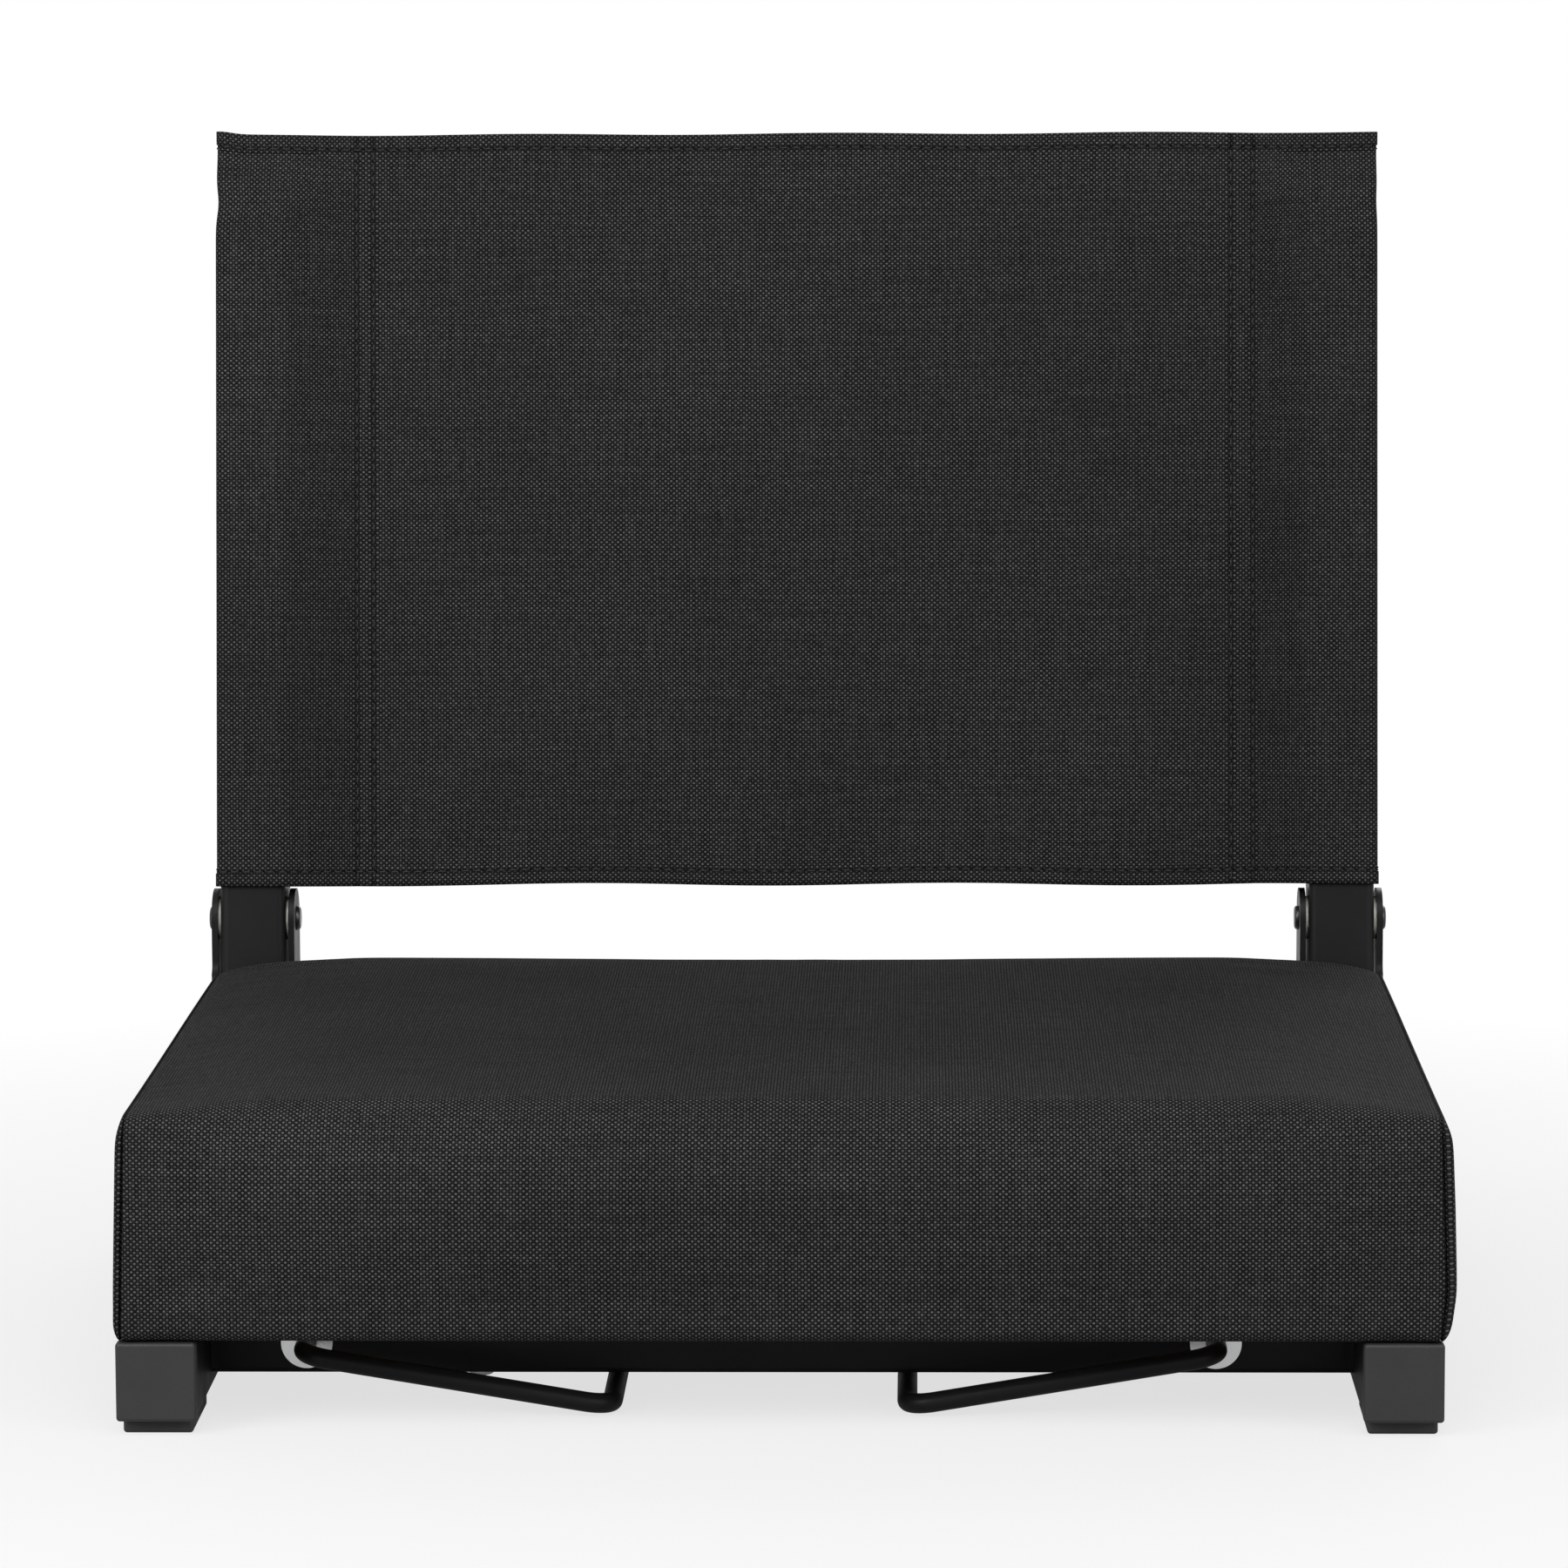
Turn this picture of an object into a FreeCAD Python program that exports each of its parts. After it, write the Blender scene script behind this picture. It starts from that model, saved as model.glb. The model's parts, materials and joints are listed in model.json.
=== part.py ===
"""Folding stadium chair: padded seat on a square-tube frame, a cloth back on two posts
that folds forward onto the seat, and two swinging rod hooks that catch a bench.

Millimetres. X runs to the chair's right, Y to the rear, Z up; the floor is Z = 0.
"Depth" is measured back from the front face of the rail end caps.
"""
import FreeCAD
import Part
import Sketcher
import math
import os

DIMENSIONS = (
    ("frame_width", 428.8),
    ("rail_side", 26),
    ("rail_wall", 1.5),
    ("rail_corner", 2.5),
    ("foot_height", 5),
    ("foot_width", 22.8),
    ("foot_length", 40),
    ("foot_setback", 1),
    ("cap_side", 26),
    ("cap_thickness", 5),
    ("cap_round", 1.2),
    ("plug_head", 2.5),
    ("plug_length", 14),
    ("rear_plug_length", 7),
    ("plug_wall", 2.4),
    ("plug_fit", 0.15),
    ("bar_side", 21),
    ("bar_wall", 1.2),
    ("bar_corner", 2),
    ("bar_depth", 50),
    ("rear_bar_depth", 268),
    ("weld_leg", 3),
    ("pivot_depth", 330),
    ("pivot_height", 119.5),
    ("recline", 7),
    ("bracket_wall", 2.2),
    ("bracket_fit", 0.1),
    ("bracket_bend", 4),
    ("ear_radius", 11),
    ("ear_flat", 0.5),
    ("rim_drop", 19.8),
    ("ear_hollow", 5),
    ("post_side", 24),
    ("post_wall", 1.5),
    ("post_corner", 3),
    ("post_tail", 25),
    ("post_rise", 263),
    ("stop_gap", 0.1),
    ("rivet_shank", 6),
    ("rivet_head", 9),
    ("rivet_head_height", 1.6),
    ("rivet_head_round", 1.3),
    ("bracket_rivet_shank", 5),
    ("bracket_rivet_spacing", 12),
    ("bracket_rivet_lead", 5.5),
    ("running_fit", 0.06),
    ("washer_outer", 16),
    ("washer_play", 0.1),
    ("cloth", 1.2),
    ("cloth_gap", 0.3),
    ("panel_cloth", 1.6),
    ("sleeve_start", 12.4),
    ("sleeve_rise", 291),
    ("pocket_width", 57),
    ("pocket_slit", 0.3),
    ("seam_width", 3.4),
    ("hem_height", 8),
    ("hem_thickness", 2.2),
    ("hook_rod", 6.6),
    ("hook_inset", 38.4),
    ("hook_shift", 7),
    ("hook_arm", 103),
    ("hook_arm_depth", 30),
    ("hook_leg", 85),
    ("hook_tail", 1.4),
    ("hook_bend", 9),
    ("hook_floor_gap", 0.3),
    ("hook_washer_outer", 17),
    ("hook_washer_thickness", 1.4),
    ("hook_clip_outer", 13),
    ("seat_side_overhang", 2.1),
    ("seat_overhang", 2.5),
    ("seat_gap", 3),
    ("seat_side", 62),
    ("seat_edge", 9.5),
    ("seat_crown", 8),
    ("seat_bulge", 2),
    ("seat_lean", 4),
    ("seat_front_corner", 6),
    ("seat_rear_corner", 24),
    ("cover_cloth", 1),
    ("cover_wadding", 6),
    ("cover_turn_in", 28),
    ("board_thickness", 10),
    ("board_margin", 14),
    ("screw_shank", 4.2),
    ("screw_head", 9),
    ("screw_head_height", 2.4),
    ("screw_head_round", 1.7),
    ("screw_spacing", 200),
    ("screw_bite", 8),
    ("cut_margin", 1),
)

doc = FreeCAD.newDocument("StadiumChair")
sheet = doc.addObject("Spreadsheet::Sheet", "Dims")
for row, (alias, value) in enumerate(DIMENSIONS, start=1):
    sheet.set(f"A{row}", alias)
    sheet.set(f"B{row}", str(value))
    sheet.setAlias(f"B{row}", alias)
doc.recompute()


class Size:
    """A number together with the sheet expression that gives it."""

    def __init__(self, value, text):
        self.value = value
        self.text = text

    def __add__(self, other):
        other = as_size(other)
        return Size(self.value + other.value, f"({self.text} + {other.text})")

    def __sub__(self, other):
        other = as_size(other)
        return Size(self.value - other.value, f"({self.text} - {other.text})")

    def __mul__(self, other):
        other = as_size(other)
        return Size(self.value * other.value, f"({self.text} * {other.text})")

    def __truediv__(self, other):
        other = as_size(other)
        return Size(self.value / other.value, f"({self.text} / {other.text})")

    def __radd__(self, other):
        return as_size(other) + self

    def __rsub__(self, other):
        return as_size(other) - self

    def __rmul__(self, other):
        return as_size(other) * self

    def __neg__(self):
        return Size(-self.value, f"(0 - {self.text})")


def as_size(item):
    """Give a plain number the same form as a sheet dimension."""
    if isinstance(item, Size):
        return item
    return Size(float(item), f"({float(item):.6f})")


def dim(alias):
    """Read one driving dimension from the sheet."""
    return Size(float(sheet.get(alias)), f"Dims.{alias}")


def sine(angle):
    return Size(math.sin(math.radians(angle.value)), f"sin({angle.text})")


def cosine(angle):
    return Size(math.cos(math.radians(angle.value)), f"cos({angle.text})")


def arcsine(ratio):
    """The angle in degrees whose sine is the ratio."""
    return Size(math.degrees(math.asin(ratio.value)), f"(asin({ratio.text}) / 1 deg)")


def bind(item, path, size):
    item.setExpression(path, as_size(size).text)


def new_body(label, x=0, y=0, z=0, axis=None, angle=0):
    """Start a body at a place bound to the sheet, turned about one axis through that place."""
    body = doc.addObject("PartDesign::Body", label)
    body.Label = label
    if axis is not None:
        turn = FreeCAD.Rotation(FreeCAD.Vector(*axis), as_size(angle).value)
        body.Placement = FreeCAD.Placement(FreeCAD.Vector(), turn)
        bind(body, "Placement.Rotation.Angle", angle)
    for name, place in zip("xyz", (x, y, z)):
        bind(body, f"Placement.Base.{name}", place)
    return body


def new_sketch(body, plane, offset=0):
    """Put a sketch on one of the body's own planes, moved along that plane's normal."""
    sketch = body.newObject("Sketcher::SketchObject", "Sketch")
    support = [feature for feature in body.Origin.OriginFeatures if feature.Role == plane][0]
    sketch.AttachmentSupport = [(support, "")]
    sketch.MapMode = "FlatFace"
    bind(sketch, "AttachmentOffset.Base.z", offset)
    return sketch


def drive(sketch, kind, *parts):
    """Add a dimension to a sketch and bind it; the last part is its size."""
    size = as_size(parts[-1])
    index = sketch.addConstraint(Sketcher.Constraint(kind, *parts[:-1], size.value))
    bind(sketch, f"Constraints[{index}]", size)


def fix_point(sketch, geometry, end, x, y):
    """Hold one point of a sketch at x, y from the origin."""
    drive(sketch, "DistanceX", -1, 1, geometry, end, x)
    drive(sketch, "DistanceY", -1, 1, geometry, end, y)


def outline(sketch, corners):
    """Draw a closed loop through corners (x, y, radius); a radius of None leaves the corner sharp."""
    count = len(corners)
    spots = [FreeCAD.Vector(as_size(x).value, as_size(y).value, 0) for x, y, radius in corners]
    starts = list(spots)
    ends = list(spots)
    arcs = {}
    for index, (x, y, radius) in enumerate(corners):
        if radius is None:
            continue
        spot = spots[index]
        before = (spots[index - 1] - spot).normalize()
        after = (spots[(index + 1) % count] - spot).normalize()
        half = before.getAngle(after) / 2
        size = as_size(radius).value
        ends[index] = spot + before * (size / math.tan(half))
        starts[index] = spot + after * (size / math.tan(half))
        centre = spot + (before + after).normalize() * (size / math.sin(half))
        left_turn = before.cross(after).z < 0
        first, last = (ends[index], starts[index]) if left_turn else (starts[index], ends[index])
        angles = [math.atan2(point.y - centre.y, point.x - centre.x) for point in (first, last)]
        if angles[1] < angles[0]:
            angles[1] += 2 * math.pi
        circle = Part.Circle(centre, FreeCAD.Vector(0, 0, 1), size)
        arcs[index] = (sketch.addGeometry(Part.ArcOfCircle(circle, *angles)), left_turn)
    lines = []
    for index in range(count):
        segment = Part.LineSegment(starts[index], ends[(index + 1) % count])
        lines.append(sketch.addGeometry(segment))
    for index, (x, y, radius) in enumerate(corners):
        arriving = lines[index - 1]
        leaving = lines[index]
        if radius is None:
            sketch.addConstraint(Sketcher.Constraint("Coincident", arriving, 2, leaving, 1))
            fix_point(sketch, leaving, 1, x, y)
            continue
        arc, left_turn = arcs[index]
        arc_in, arc_out = (1, 2) if left_turn else (2, 1)
        mark = sketch.addGeometry(Part.Point(spots[index]), True)
        fix_point(sketch, mark, 1, x, y)
        sketch.addConstraint(Sketcher.Constraint("Tangent", arriving, 2, arc, arc_in))
        sketch.addConstraint(Sketcher.Constraint("Tangent", leaving, 1, arc, arc_out))
        sketch.addConstraint(Sketcher.Constraint("PointOnObject", mark, 1, arriving))
        sketch.addConstraint(Sketcher.Constraint("PointOnObject", mark, 1, leaving))
        drive(sketch, "Radius", arc, radius)
    return lines


def rectangle(sketch, x0, x1, y0, y1, low_radius=None, high_radius=None):
    """Draw an upright rectangle with one corner radius at its low-y side and one at its high-y side."""
    outline(sketch, [
        (x0, y0, low_radius),
        (x1, y0, low_radius),
        (x1, y1, high_radius),
        (x0, y1, high_radius),
    ])


def square(sketch, side, radius=None):
    rectangle(sketch, -side / 2, side / 2, -side / 2, side / 2, radius, radius)


def circle(sketch, x, y, diameter):
    centre = FreeCAD.Vector(as_size(x).value, as_size(y).value, 0)
    loop = sketch.addGeometry(Part.Circle(centre, FreeCAD.Vector(0, 0, 1), as_size(diameter).value / 2))
    fix_point(sketch, loop, 3, x, y)
    drive(sketch, "Radius", loop, as_size(diameter) / 2)


def pad(body, sketch, length):
    feature = body.newObject("PartDesign::Pad", "Pad")
    feature.Profile = sketch
    bind(feature, "Length", length)
    doc.recompute()
    return feature


def cut_through(body, sketch):
    """Cut a sketch right through the body on both sides of its plane."""
    feature = body.newObject("PartDesign::Pocket", "Pocket")
    feature.Profile = sketch
    feature.Type = "ThroughAll"
    feature.SideType = "Symmetric"
    doc.recompute()


def cut_up(body, sketch, depth):
    """Cut a sketch into the body along the sketch's own normal."""
    feature = body.newObject("PartDesign::Pocket", "Pocket")
    feature.Profile = sketch
    feature.Reversed = True
    bind(feature, "Length", depth)
    doc.recompute()


def revolve(body, sketch, axis):
    feature = body.newObject("PartDesign::Revolution", "Revolution")
    feature.Profile = sketch
    feature.ReferenceAxis = (sketch, [axis])
    feature.Angle = 360
    doc.recompute()


def loft(body, sketches, kind="AdditiveLoft"):
    feature = body.newObject(f"PartDesign::{kind}", kind)
    feature.Profile = sketches[0]
    feature.Sections = sketches[1:]
    feature.Ruled = True
    doc.recompute()


def round_face(body, feature, axis, radius):
    """Round the edges of the feature's outermost face along one axis of the body."""
    faces = feature.Shape.Faces
    reach = [face.CenterOfMass.dot(FreeCAD.Vector(*axis)) for face in faces]
    outermost = reach.index(max(reach)) + 1
    fillet = body.newObject("PartDesign::Fillet", "Fillet")
    fillet.Base = (feature, [f"Face{outermost}"])
    bind(fillet, "Radius", radius)
    doc.recompute()


SIDES = (("left", -1), ("right", 1))
RIGHTWARD = (1, 0, 0)
LEFTWARD = (-1, 0, 0)

# Places shared by several pieces
recline = dim("recline")
rail_side = dim("rail_side")
post_side = dim("post_side")
bracket_wall = dim("bracket_wall")
pivot_height = dim("pivot_height")
rail_base = dim("foot_height")
rail_middle = rail_base + rail_side / 2
rail_top = rail_base + rail_side
rail_offset = (dim("frame_width") - rail_side) / 2
bracket_inside = rail_side + 2 * dim("bracket_fit")
bracket_outside = bracket_inside + 2 * bracket_wall
back_half = post_side / 2 + dim("cloth_gap") + dim("cloth")
back_reach = dim("post_rise") * sine(recline) + back_half * cosine(recline)
front = -(dim("pivot_depth") + back_reach - dim("seat_overhang")) / 2
pivot_y = front + dim("pivot_depth")
web_reach = (
    post_side / 2 * cosine(recline)
    + dim("post_tail") * sine(recline)
    + dim("stop_gap")
    + bracket_wall
)
rail_end = pivot_y + dim("ear_radius")
rivet_middle = pivot_y - dim("bracket_rivet_lead")
rivet_half = dim("bracket_rivet_spacing") / 2
bracket_rivets = (rivet_middle - rivet_half, rivet_middle + rivet_half)


def square_tube(body, plane, offset, length, side, wall, corner):
    """Pad a round-cornered square tube off one of the body's planes."""
    sketch = new_sketch(body, plane, offset)
    square(sketch, side, corner)
    square(sketch, side - 2 * wall, corner - wall)
    return pad(body, sketch, length)


def end_plug(label, place, axis, angle, side, thickness, tube_bore, length):
    """Mould a plug along Z: a head with a rounded face and a hollow spigot inside the tube."""
    body = new_body(label, *place, axis, angle)
    head_sketch = new_sketch(body, "XY_Plane")
    square(head_sketch, side, dim("cap_round"))
    head = pad(body, head_sketch, thickness)
    round_face(body, head, (0, 0, 1), dim("cap_round"))
    spigot = tube_bore - 2 * dim("plug_fit")
    spigot_sketch = new_sketch(body, "XY_Plane", -length)
    square(spigot_sketch, spigot, dim("cap_round"))
    square(spigot_sketch, spigot - 2 * dim("plug_wall"))
    pad(body, spigot_sketch, length)


def rivet(label, x, y, z, grip, shank, head):
    """Turn a rivet along X with a rounded head at each end."""
    body = new_body(label, x, y, z)
    sketch = new_sketch(body, "XY_Plane")
    height = dim("rivet_head_height")
    outer = grip / 2 + height
    outline(sketch, [
        (-outer, 0, None),
        (outer, 0, None),
        (outer, head / 2, dim("rivet_head_round")),
        (grip / 2, head / 2, None),
        (grip / 2, shank / 2, None),
        (-grip / 2, shank / 2, None),
        (-grip / 2, head / 2, None),
        (-outer, head / 2, dim("rivet_head_round")),
    ])
    revolve(body, sketch, "H_Axis")


# Side rails: square tubes from the end caps to the back of the hinge brackets
rail_start = front + dim("cap_thickness")
for name, sign in SIDES:
    rail = new_body(f"{name}_side_rail", sign * rail_offset, 0, rail_middle)
    square_tube(
        rail, "XZ_Plane", -rail_end, rail_end - rail_start,
        rail_side, dim("rail_wall"), dim("rail_corner"),
    )
    holes = new_sketch(rail, "YZ_Plane")
    for place in bracket_rivets:
        circle(holes, place, 0, dim("bracket_rivet_shank"))
    cut_through(rail, holes)

# Crossbars: square tubes between the rails, with a weld fillet at each joint
bar_side = dim("bar_side")
bar_middle = rail_top - bar_side / 2
bar_length = dim("frame_width") - 2 * rail_side
hook_reach = bar_length / 2 - dim("hook_inset")
hook_places = {name: sign * hook_reach - dim("hook_shift") for name, sign in SIDES}
hook_hole = dim("hook_rod") + 2 * dim("running_fit")
screw_places = [sign * dim("screw_spacing") / 2 for name, sign in SIDES]
bar_depths = {"front": dim("bar_depth"), "rear": dim("rear_bar_depth")}
for place, depth in bar_depths.items():
    bar = new_body(f"{place}_crossbar", 0, front + depth + bar_side / 2, bar_middle)
    square_tube(
        bar, "YZ_Plane", -bar_length / 2, bar_length,
        bar_side, dim("bar_wall"), dim("bar_corner"),
    )
    weld_height = bar_side - 2 * dim("bar_corner")
    welds = new_sketch(bar, "XY_Plane", -weld_height / 2)
    for end in (-1, 1):
        for face in (-1, 1):
            corner = (end * bar_length / 2, face * bar_side / 2)
            along = (corner[0] - end * dim("weld_leg"), corner[1])
            out = (corner[0], corner[1] + face * dim("weld_leg"))
            loop = (corner, along, out) if end * face < 0 else (corner, out, along)
            outline(welds, [(x, y, None) for x, y in loop])
    pad(bar, welds, weld_height)
    if place == "front":
        holes = new_sketch(bar, "XZ_Plane")
        for x in hook_places.values():
            circle(holes, x, 0, hook_hole)
        cut_through(bar, holes)
    holes = new_sketch(bar, "XY_Plane")
    for x in screw_places:
        circle(holes, x, 0, dim("screw_shank"))
    cut_through(bar, holes)

# Hinge brackets: channels folded from plate, web to the front, two round ears above
for name, sign in SIDES:
    bracket = new_body(f"{name}_hinge_bracket", sign * rail_offset, pivot_y, pivot_height)
    ear = dim("ear_radius")
    half_out = bracket_outside / 2
    half_in = bracket_inside / 2
    foot = pivot_height - rail_base - dim("rail_corner")
    channel = new_sketch(bracket, "XY_Plane", -foot)
    outline(channel, [
        (-half_out, ear, None),
        (-half_out, -web_reach, dim("bracket_bend")),
        (half_out, -web_reach, dim("bracket_bend")),
        (half_out, ear, None),
        (half_in, ear, None),
        (half_in, bracket_wall - web_reach, dim("bracket_bend") - bracket_wall),
        (-half_in, bracket_wall - web_reach, dim("bracket_bend") - bracket_wall),
        (-half_in, ear, None),
    ])
    pad(bracket, channel, foot + ear)
    ear_round = ear - dim("ear_flat")
    above = ear + dim("cut_margin")
    behind = ear + dim("cut_margin")
    ahead = -web_reach - dim("cut_margin")
    rim = -dim("rim_drop")
    front_waste = new_sketch(bracket, "YZ_Plane")
    outline(front_waste, [
        (ahead, rim, None),
        (-ear, rim, dim("ear_hollow")),
        (-ear, ear, ear_round),
        (0, ear, None),
        (0, above, None),
        (ahead, above, None),
    ])
    cut_through(bracket, front_waste)
    rear_waste = new_sketch(bracket, "YZ_Plane")
    outline(rear_waste, [
        (0, ear, None),
        (ear, ear, ear_round),
        (ear, 0, None),
        (behind, 0, None),
        (behind, above, None),
        (0, above, None),
    ])
    cut_through(bracket, rear_waste)
    window = new_sketch(bracket, "XZ_Plane")
    rail_clearance = rail_top + dim("rail_corner") - pivot_height
    rectangle(window, -half_in, half_in, -foot - dim("cut_margin"), rail_clearance)
    cut_through(bracket, window)
    holes = new_sketch(bracket, "YZ_Plane")
    circle(holes, 0, 0, dim("rivet_shank"))
    for place in bracket_rivets:
        circle(holes, place - pivot_y, rail_middle - pivot_height, dim("bracket_rivet_shank"))
    cut_through(bracket, holes)

# Rivets: two through each bracket and rail, and one pivot through each pair of ears
for name, sign in SIDES:
    for place, y in zip(("front", "rear"), bracket_rivets):
        rivet(
            f"{name}_{place}_bracket_rivet", sign * rail_offset, y, rail_middle,
            bracket_outside, dim("bracket_rivet_shank"), dim("rivet_head"),
        )
    rivet(
        f"{name}_pivot_rivet", sign * rail_offset, pivot_y, pivot_height,
        bracket_outside, dim("rivet_shank"), dim("rivet_head"),
    )

# Pivot washers: thin nylon rings that fill the play between each ear and the post
washer_thickness = (bracket_inside - post_side) / 2 - dim("washer_play")
for name, sign in SIDES:
    for place, side in (("outer", sign), ("inner", -sign)):
        middle = sign * rail_offset + side * (bracket_inside - washer_thickness) / 2
        washer = new_body(f"{name}_{place}_washer", middle, pivot_y, pivot_height)
        ring = new_sketch(washer, "YZ_Plane", -washer_thickness / 2)
        circle(ring, 0, 0, dim("washer_outer"))
        circle(ring, 0, 0, dim("rivet_shank"))
        pad(washer, ring, washer_thickness)

# End caps and plugs: moulded heads over the rail ends, spigots inside
rail_bore = rail_side - 2 * dim("rail_wall")
for name, sign in SIDES:
    x = sign * rail_offset
    end_plug(
        f"{name}_front_cap", (x, rail_start, rail_middle), RIGHTWARD, 90,
        dim("cap_side"), dim("cap_thickness"), rail_bore, dim("plug_length"),
    )
    end_plug(
        f"{name}_rear_plug", (x, rail_end, rail_middle), LEFTWARD, 90,
        rail_side, dim("plug_head"), rail_bore, dim("rear_plug_length"),
    )

# Feet: rubber pads under both ends of each rail
foot_starts = {
    "front": rail_start + dim("foot_setback"),
    "rear": rail_end - dim("foot_length") - dim("foot_setback"),
}
for name, sign in SIDES:
    for place, y in foot_starts.items():
        foot = new_body(f"{name}_{place}_foot", sign * rail_offset, y, rail_base)
        sole = new_sketch(foot, "XY_Plane", -dim("foot_height"))
        half = dim("foot_width") / 2
        rectangle(sole, -half, half, 0, dim("foot_length"), dim("cap_round"), dim("cap_round"))
        block = pad(foot, sole, dim("foot_height"))
        round_face(foot, block, (0, 0, -1), dim("cap_round"))

# Seat: a crowned foam pad round a plywood board, in a sewn cover that turns in below
SIDE_STEPS = 4
EDGE_STEPS = 4
CROWN_STEPS = 4
CROWN_REST = 0.3
DOME_SHARE = 0.8
seat_front = front - dim("seat_overhang")
seat_rear = pivot_y - web_reach - dim("seat_gap")
seat_depth = seat_rear - seat_front
seat_width = dim("frame_width") + 2 * dim("seat_side_overhang")
seat_middle = (seat_front + seat_rear) / 2


def seat_levels():
    """Give each ring of the pad as (height above the rails, inset from the full outline).

    The sides lean in and swell by a half sine, the top edge turns over on a quarter circle,
    and the crown rises quickly from the edge and levels out towards the middle.
    """
    levels = []
    for step in range(SIDE_STEPS + 1):
        share = step / SIDE_STEPS
        swell = dim("seat_bulge") * math.sin(math.pi * share)
        levels.append((dim("seat_side") * share, dim("seat_lean") * share - swell))
    for step in range(1, EDGE_STEPS + 1):
        angle = math.pi / 2 * step / EDGE_STEPS
        rise = dim("seat_side") + dim("seat_edge") * math.sin(angle)
        levels.append((rise, dim("seat_lean") + dim("seat_edge") * (1 - math.cos(angle))))
    edge = dim("seat_lean") + dim("seat_edge")
    for step in range(1, CROWN_STEPS + 1):
        share = step / (CROWN_STEPS + CROWN_REST)
        rise = dim("seat_side") + dim("seat_edge") + dim("seat_crown") * (1 - (1 - share) ** 3)
        levels.append((rise, edge + (seat_depth / 2 - edge) * share))
    return levels


def seat_rings(body, base, skin):
    """Sketch the rings of the pad, raised off its base and drawn in by the thickness of a skin."""
    levels = seat_levels()
    rings = []
    for index, (rise, inset) in enumerate(levels):
        share = index / (len(levels) - 1)
        ring = new_sketch(body, "XY_Plane", base + rise - (base + skin) * share)
        half_width = seat_width / 2 - inset - skin
        half_depth = seat_depth / 2 - inset - skin
        crown_share = max(0, 1 - (len(levels) - 1 - index) / CROWN_STEPS)
        domed = half_depth * crown_share * DOME_SHARE
        front_corner = dim("seat_front_corner") * (1 - share) + domed
        rear_corner = dim("seat_rear_corner") * (1 - share) + domed
        rectangle(ring, -half_width, half_width, -half_depth, half_depth, front_corner, rear_corner)
        rings.append(ring)
    return rings


board_half_width = seat_width / 2 - dim("board_margin")
board_half_depth = seat_depth / 2 - dim("board_margin")
cloth = dim("cover_cloth")
wadding = dim("cover_wadding")


def board_sketch(body, offset):
    sketch = new_sketch(body, "XY_Plane", offset)
    rectangle(
        sketch, -board_half_width, board_half_width, -board_half_depth, board_half_depth,
        dim("seat_front_corner"), dim("seat_rear_corner"),
    )
    return sketch


board = new_body("seat_board", 0, seat_middle, rail_top)
pad(board, board_sketch(board, cloth), dim("board_thickness"))
holes = new_sketch(board, "XY_Plane", cloth)
for depth in bar_depths.values():
    for x in screw_places:
        circle(holes, x, front + depth + bar_side / 2 - seat_middle, dim("screw_shank"))
cut_up(board, holes, dim("screw_bite"))

foam = new_body("seat_foam", 0, seat_middle, rail_top)
loft(foam, seat_rings(foam, cloth, wadding))
cut_up(foam, board_sketch(foam, cloth), dim("board_thickness"))

cover = new_body("seat_cover", 0, seat_middle, rail_top)
loft(cover, seat_rings(cover, as_size(0), as_size(0)))
loft(cover, seat_rings(cover, cloth, wadding), "SubtractiveLoft")
opening = new_sketch(cover, "XY_Plane")
half_width = seat_width / 2 - dim("cover_turn_in")
half_depth = seat_depth / 2 - dim("cover_turn_in")
rectangle(
    opening, -half_width, half_width, -half_depth, half_depth,
    dim("seat_front_corner"), dim("seat_rear_corner"),
)
cut_up(cover, opening, cloth)

# Seat screws: up through each crossbar into the board
for place, depth in bar_depths.items():
    for (name, sign), x in zip(SIDES, screw_places):
        screw = new_body(f"{name}_{place}_screw", x, front + depth + bar_side / 2, rail_top)
        profile = new_sketch(screw, "XZ_Plane")
        seat = -bar_side
        tip = cloth + dim("screw_bite")
        head = dim("screw_head") / 2
        shank = dim("screw_shank") / 2
        outline(profile, [
            (0, seat - dim("screw_head_height"), None),
            (head, seat - dim("screw_head_height"), dim("screw_head_round")),
            (head, seat, None),
            (shank, seat, None),
            (shank, tip, None),
            (0, tip, None),
        ])
        revolve(screw, profile, "V_Axis")

# Back posts: square tubes between the ears, tails behind the webs, leaning back
for name, sign in SIDES:
    place = (sign * rail_offset, pivot_y, pivot_height)
    post = new_body(f"{name}_back_post", *place, LEFTWARD, recline)
    square_tube(
        post, "XY_Plane", -dim("post_tail"), dim("post_tail") + dim("post_rise"),
        post_side, dim("post_wall"), dim("post_corner"),
    )
    hole = new_sketch(post, "YZ_Plane")
    circle(hole, 0, 0, dim("rivet_shank") + 2 * dim("running_fit"))
    cut_through(post, hole)
    top = (
        place[0],
        pivot_y + dim("post_rise") * sine(recline),
        pivot_height + dim("post_rise") * cosine(recline),
    )
    end_plug(
        f"{name}_post_plug", top, LEFTWARD, recline,
        post_side, dim("plug_head"), post_side - 2 * dim("post_wall"), dim("plug_length"),
    )

# Back sleeve: cloth pockets round both posts, one panel between, sewn shut above the posts
plug_top = dim("post_rise") + dim("plug_head") + dim("cloth_gap")
stitch = rail_offset + back_half - dim("pocket_width")
hem_share = dim("hem_thickness") / 2 / back_half
# A bevel of this share of a round corner's radius just touches the round
CORNER_CUT = 2 - math.sqrt(2)


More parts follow.
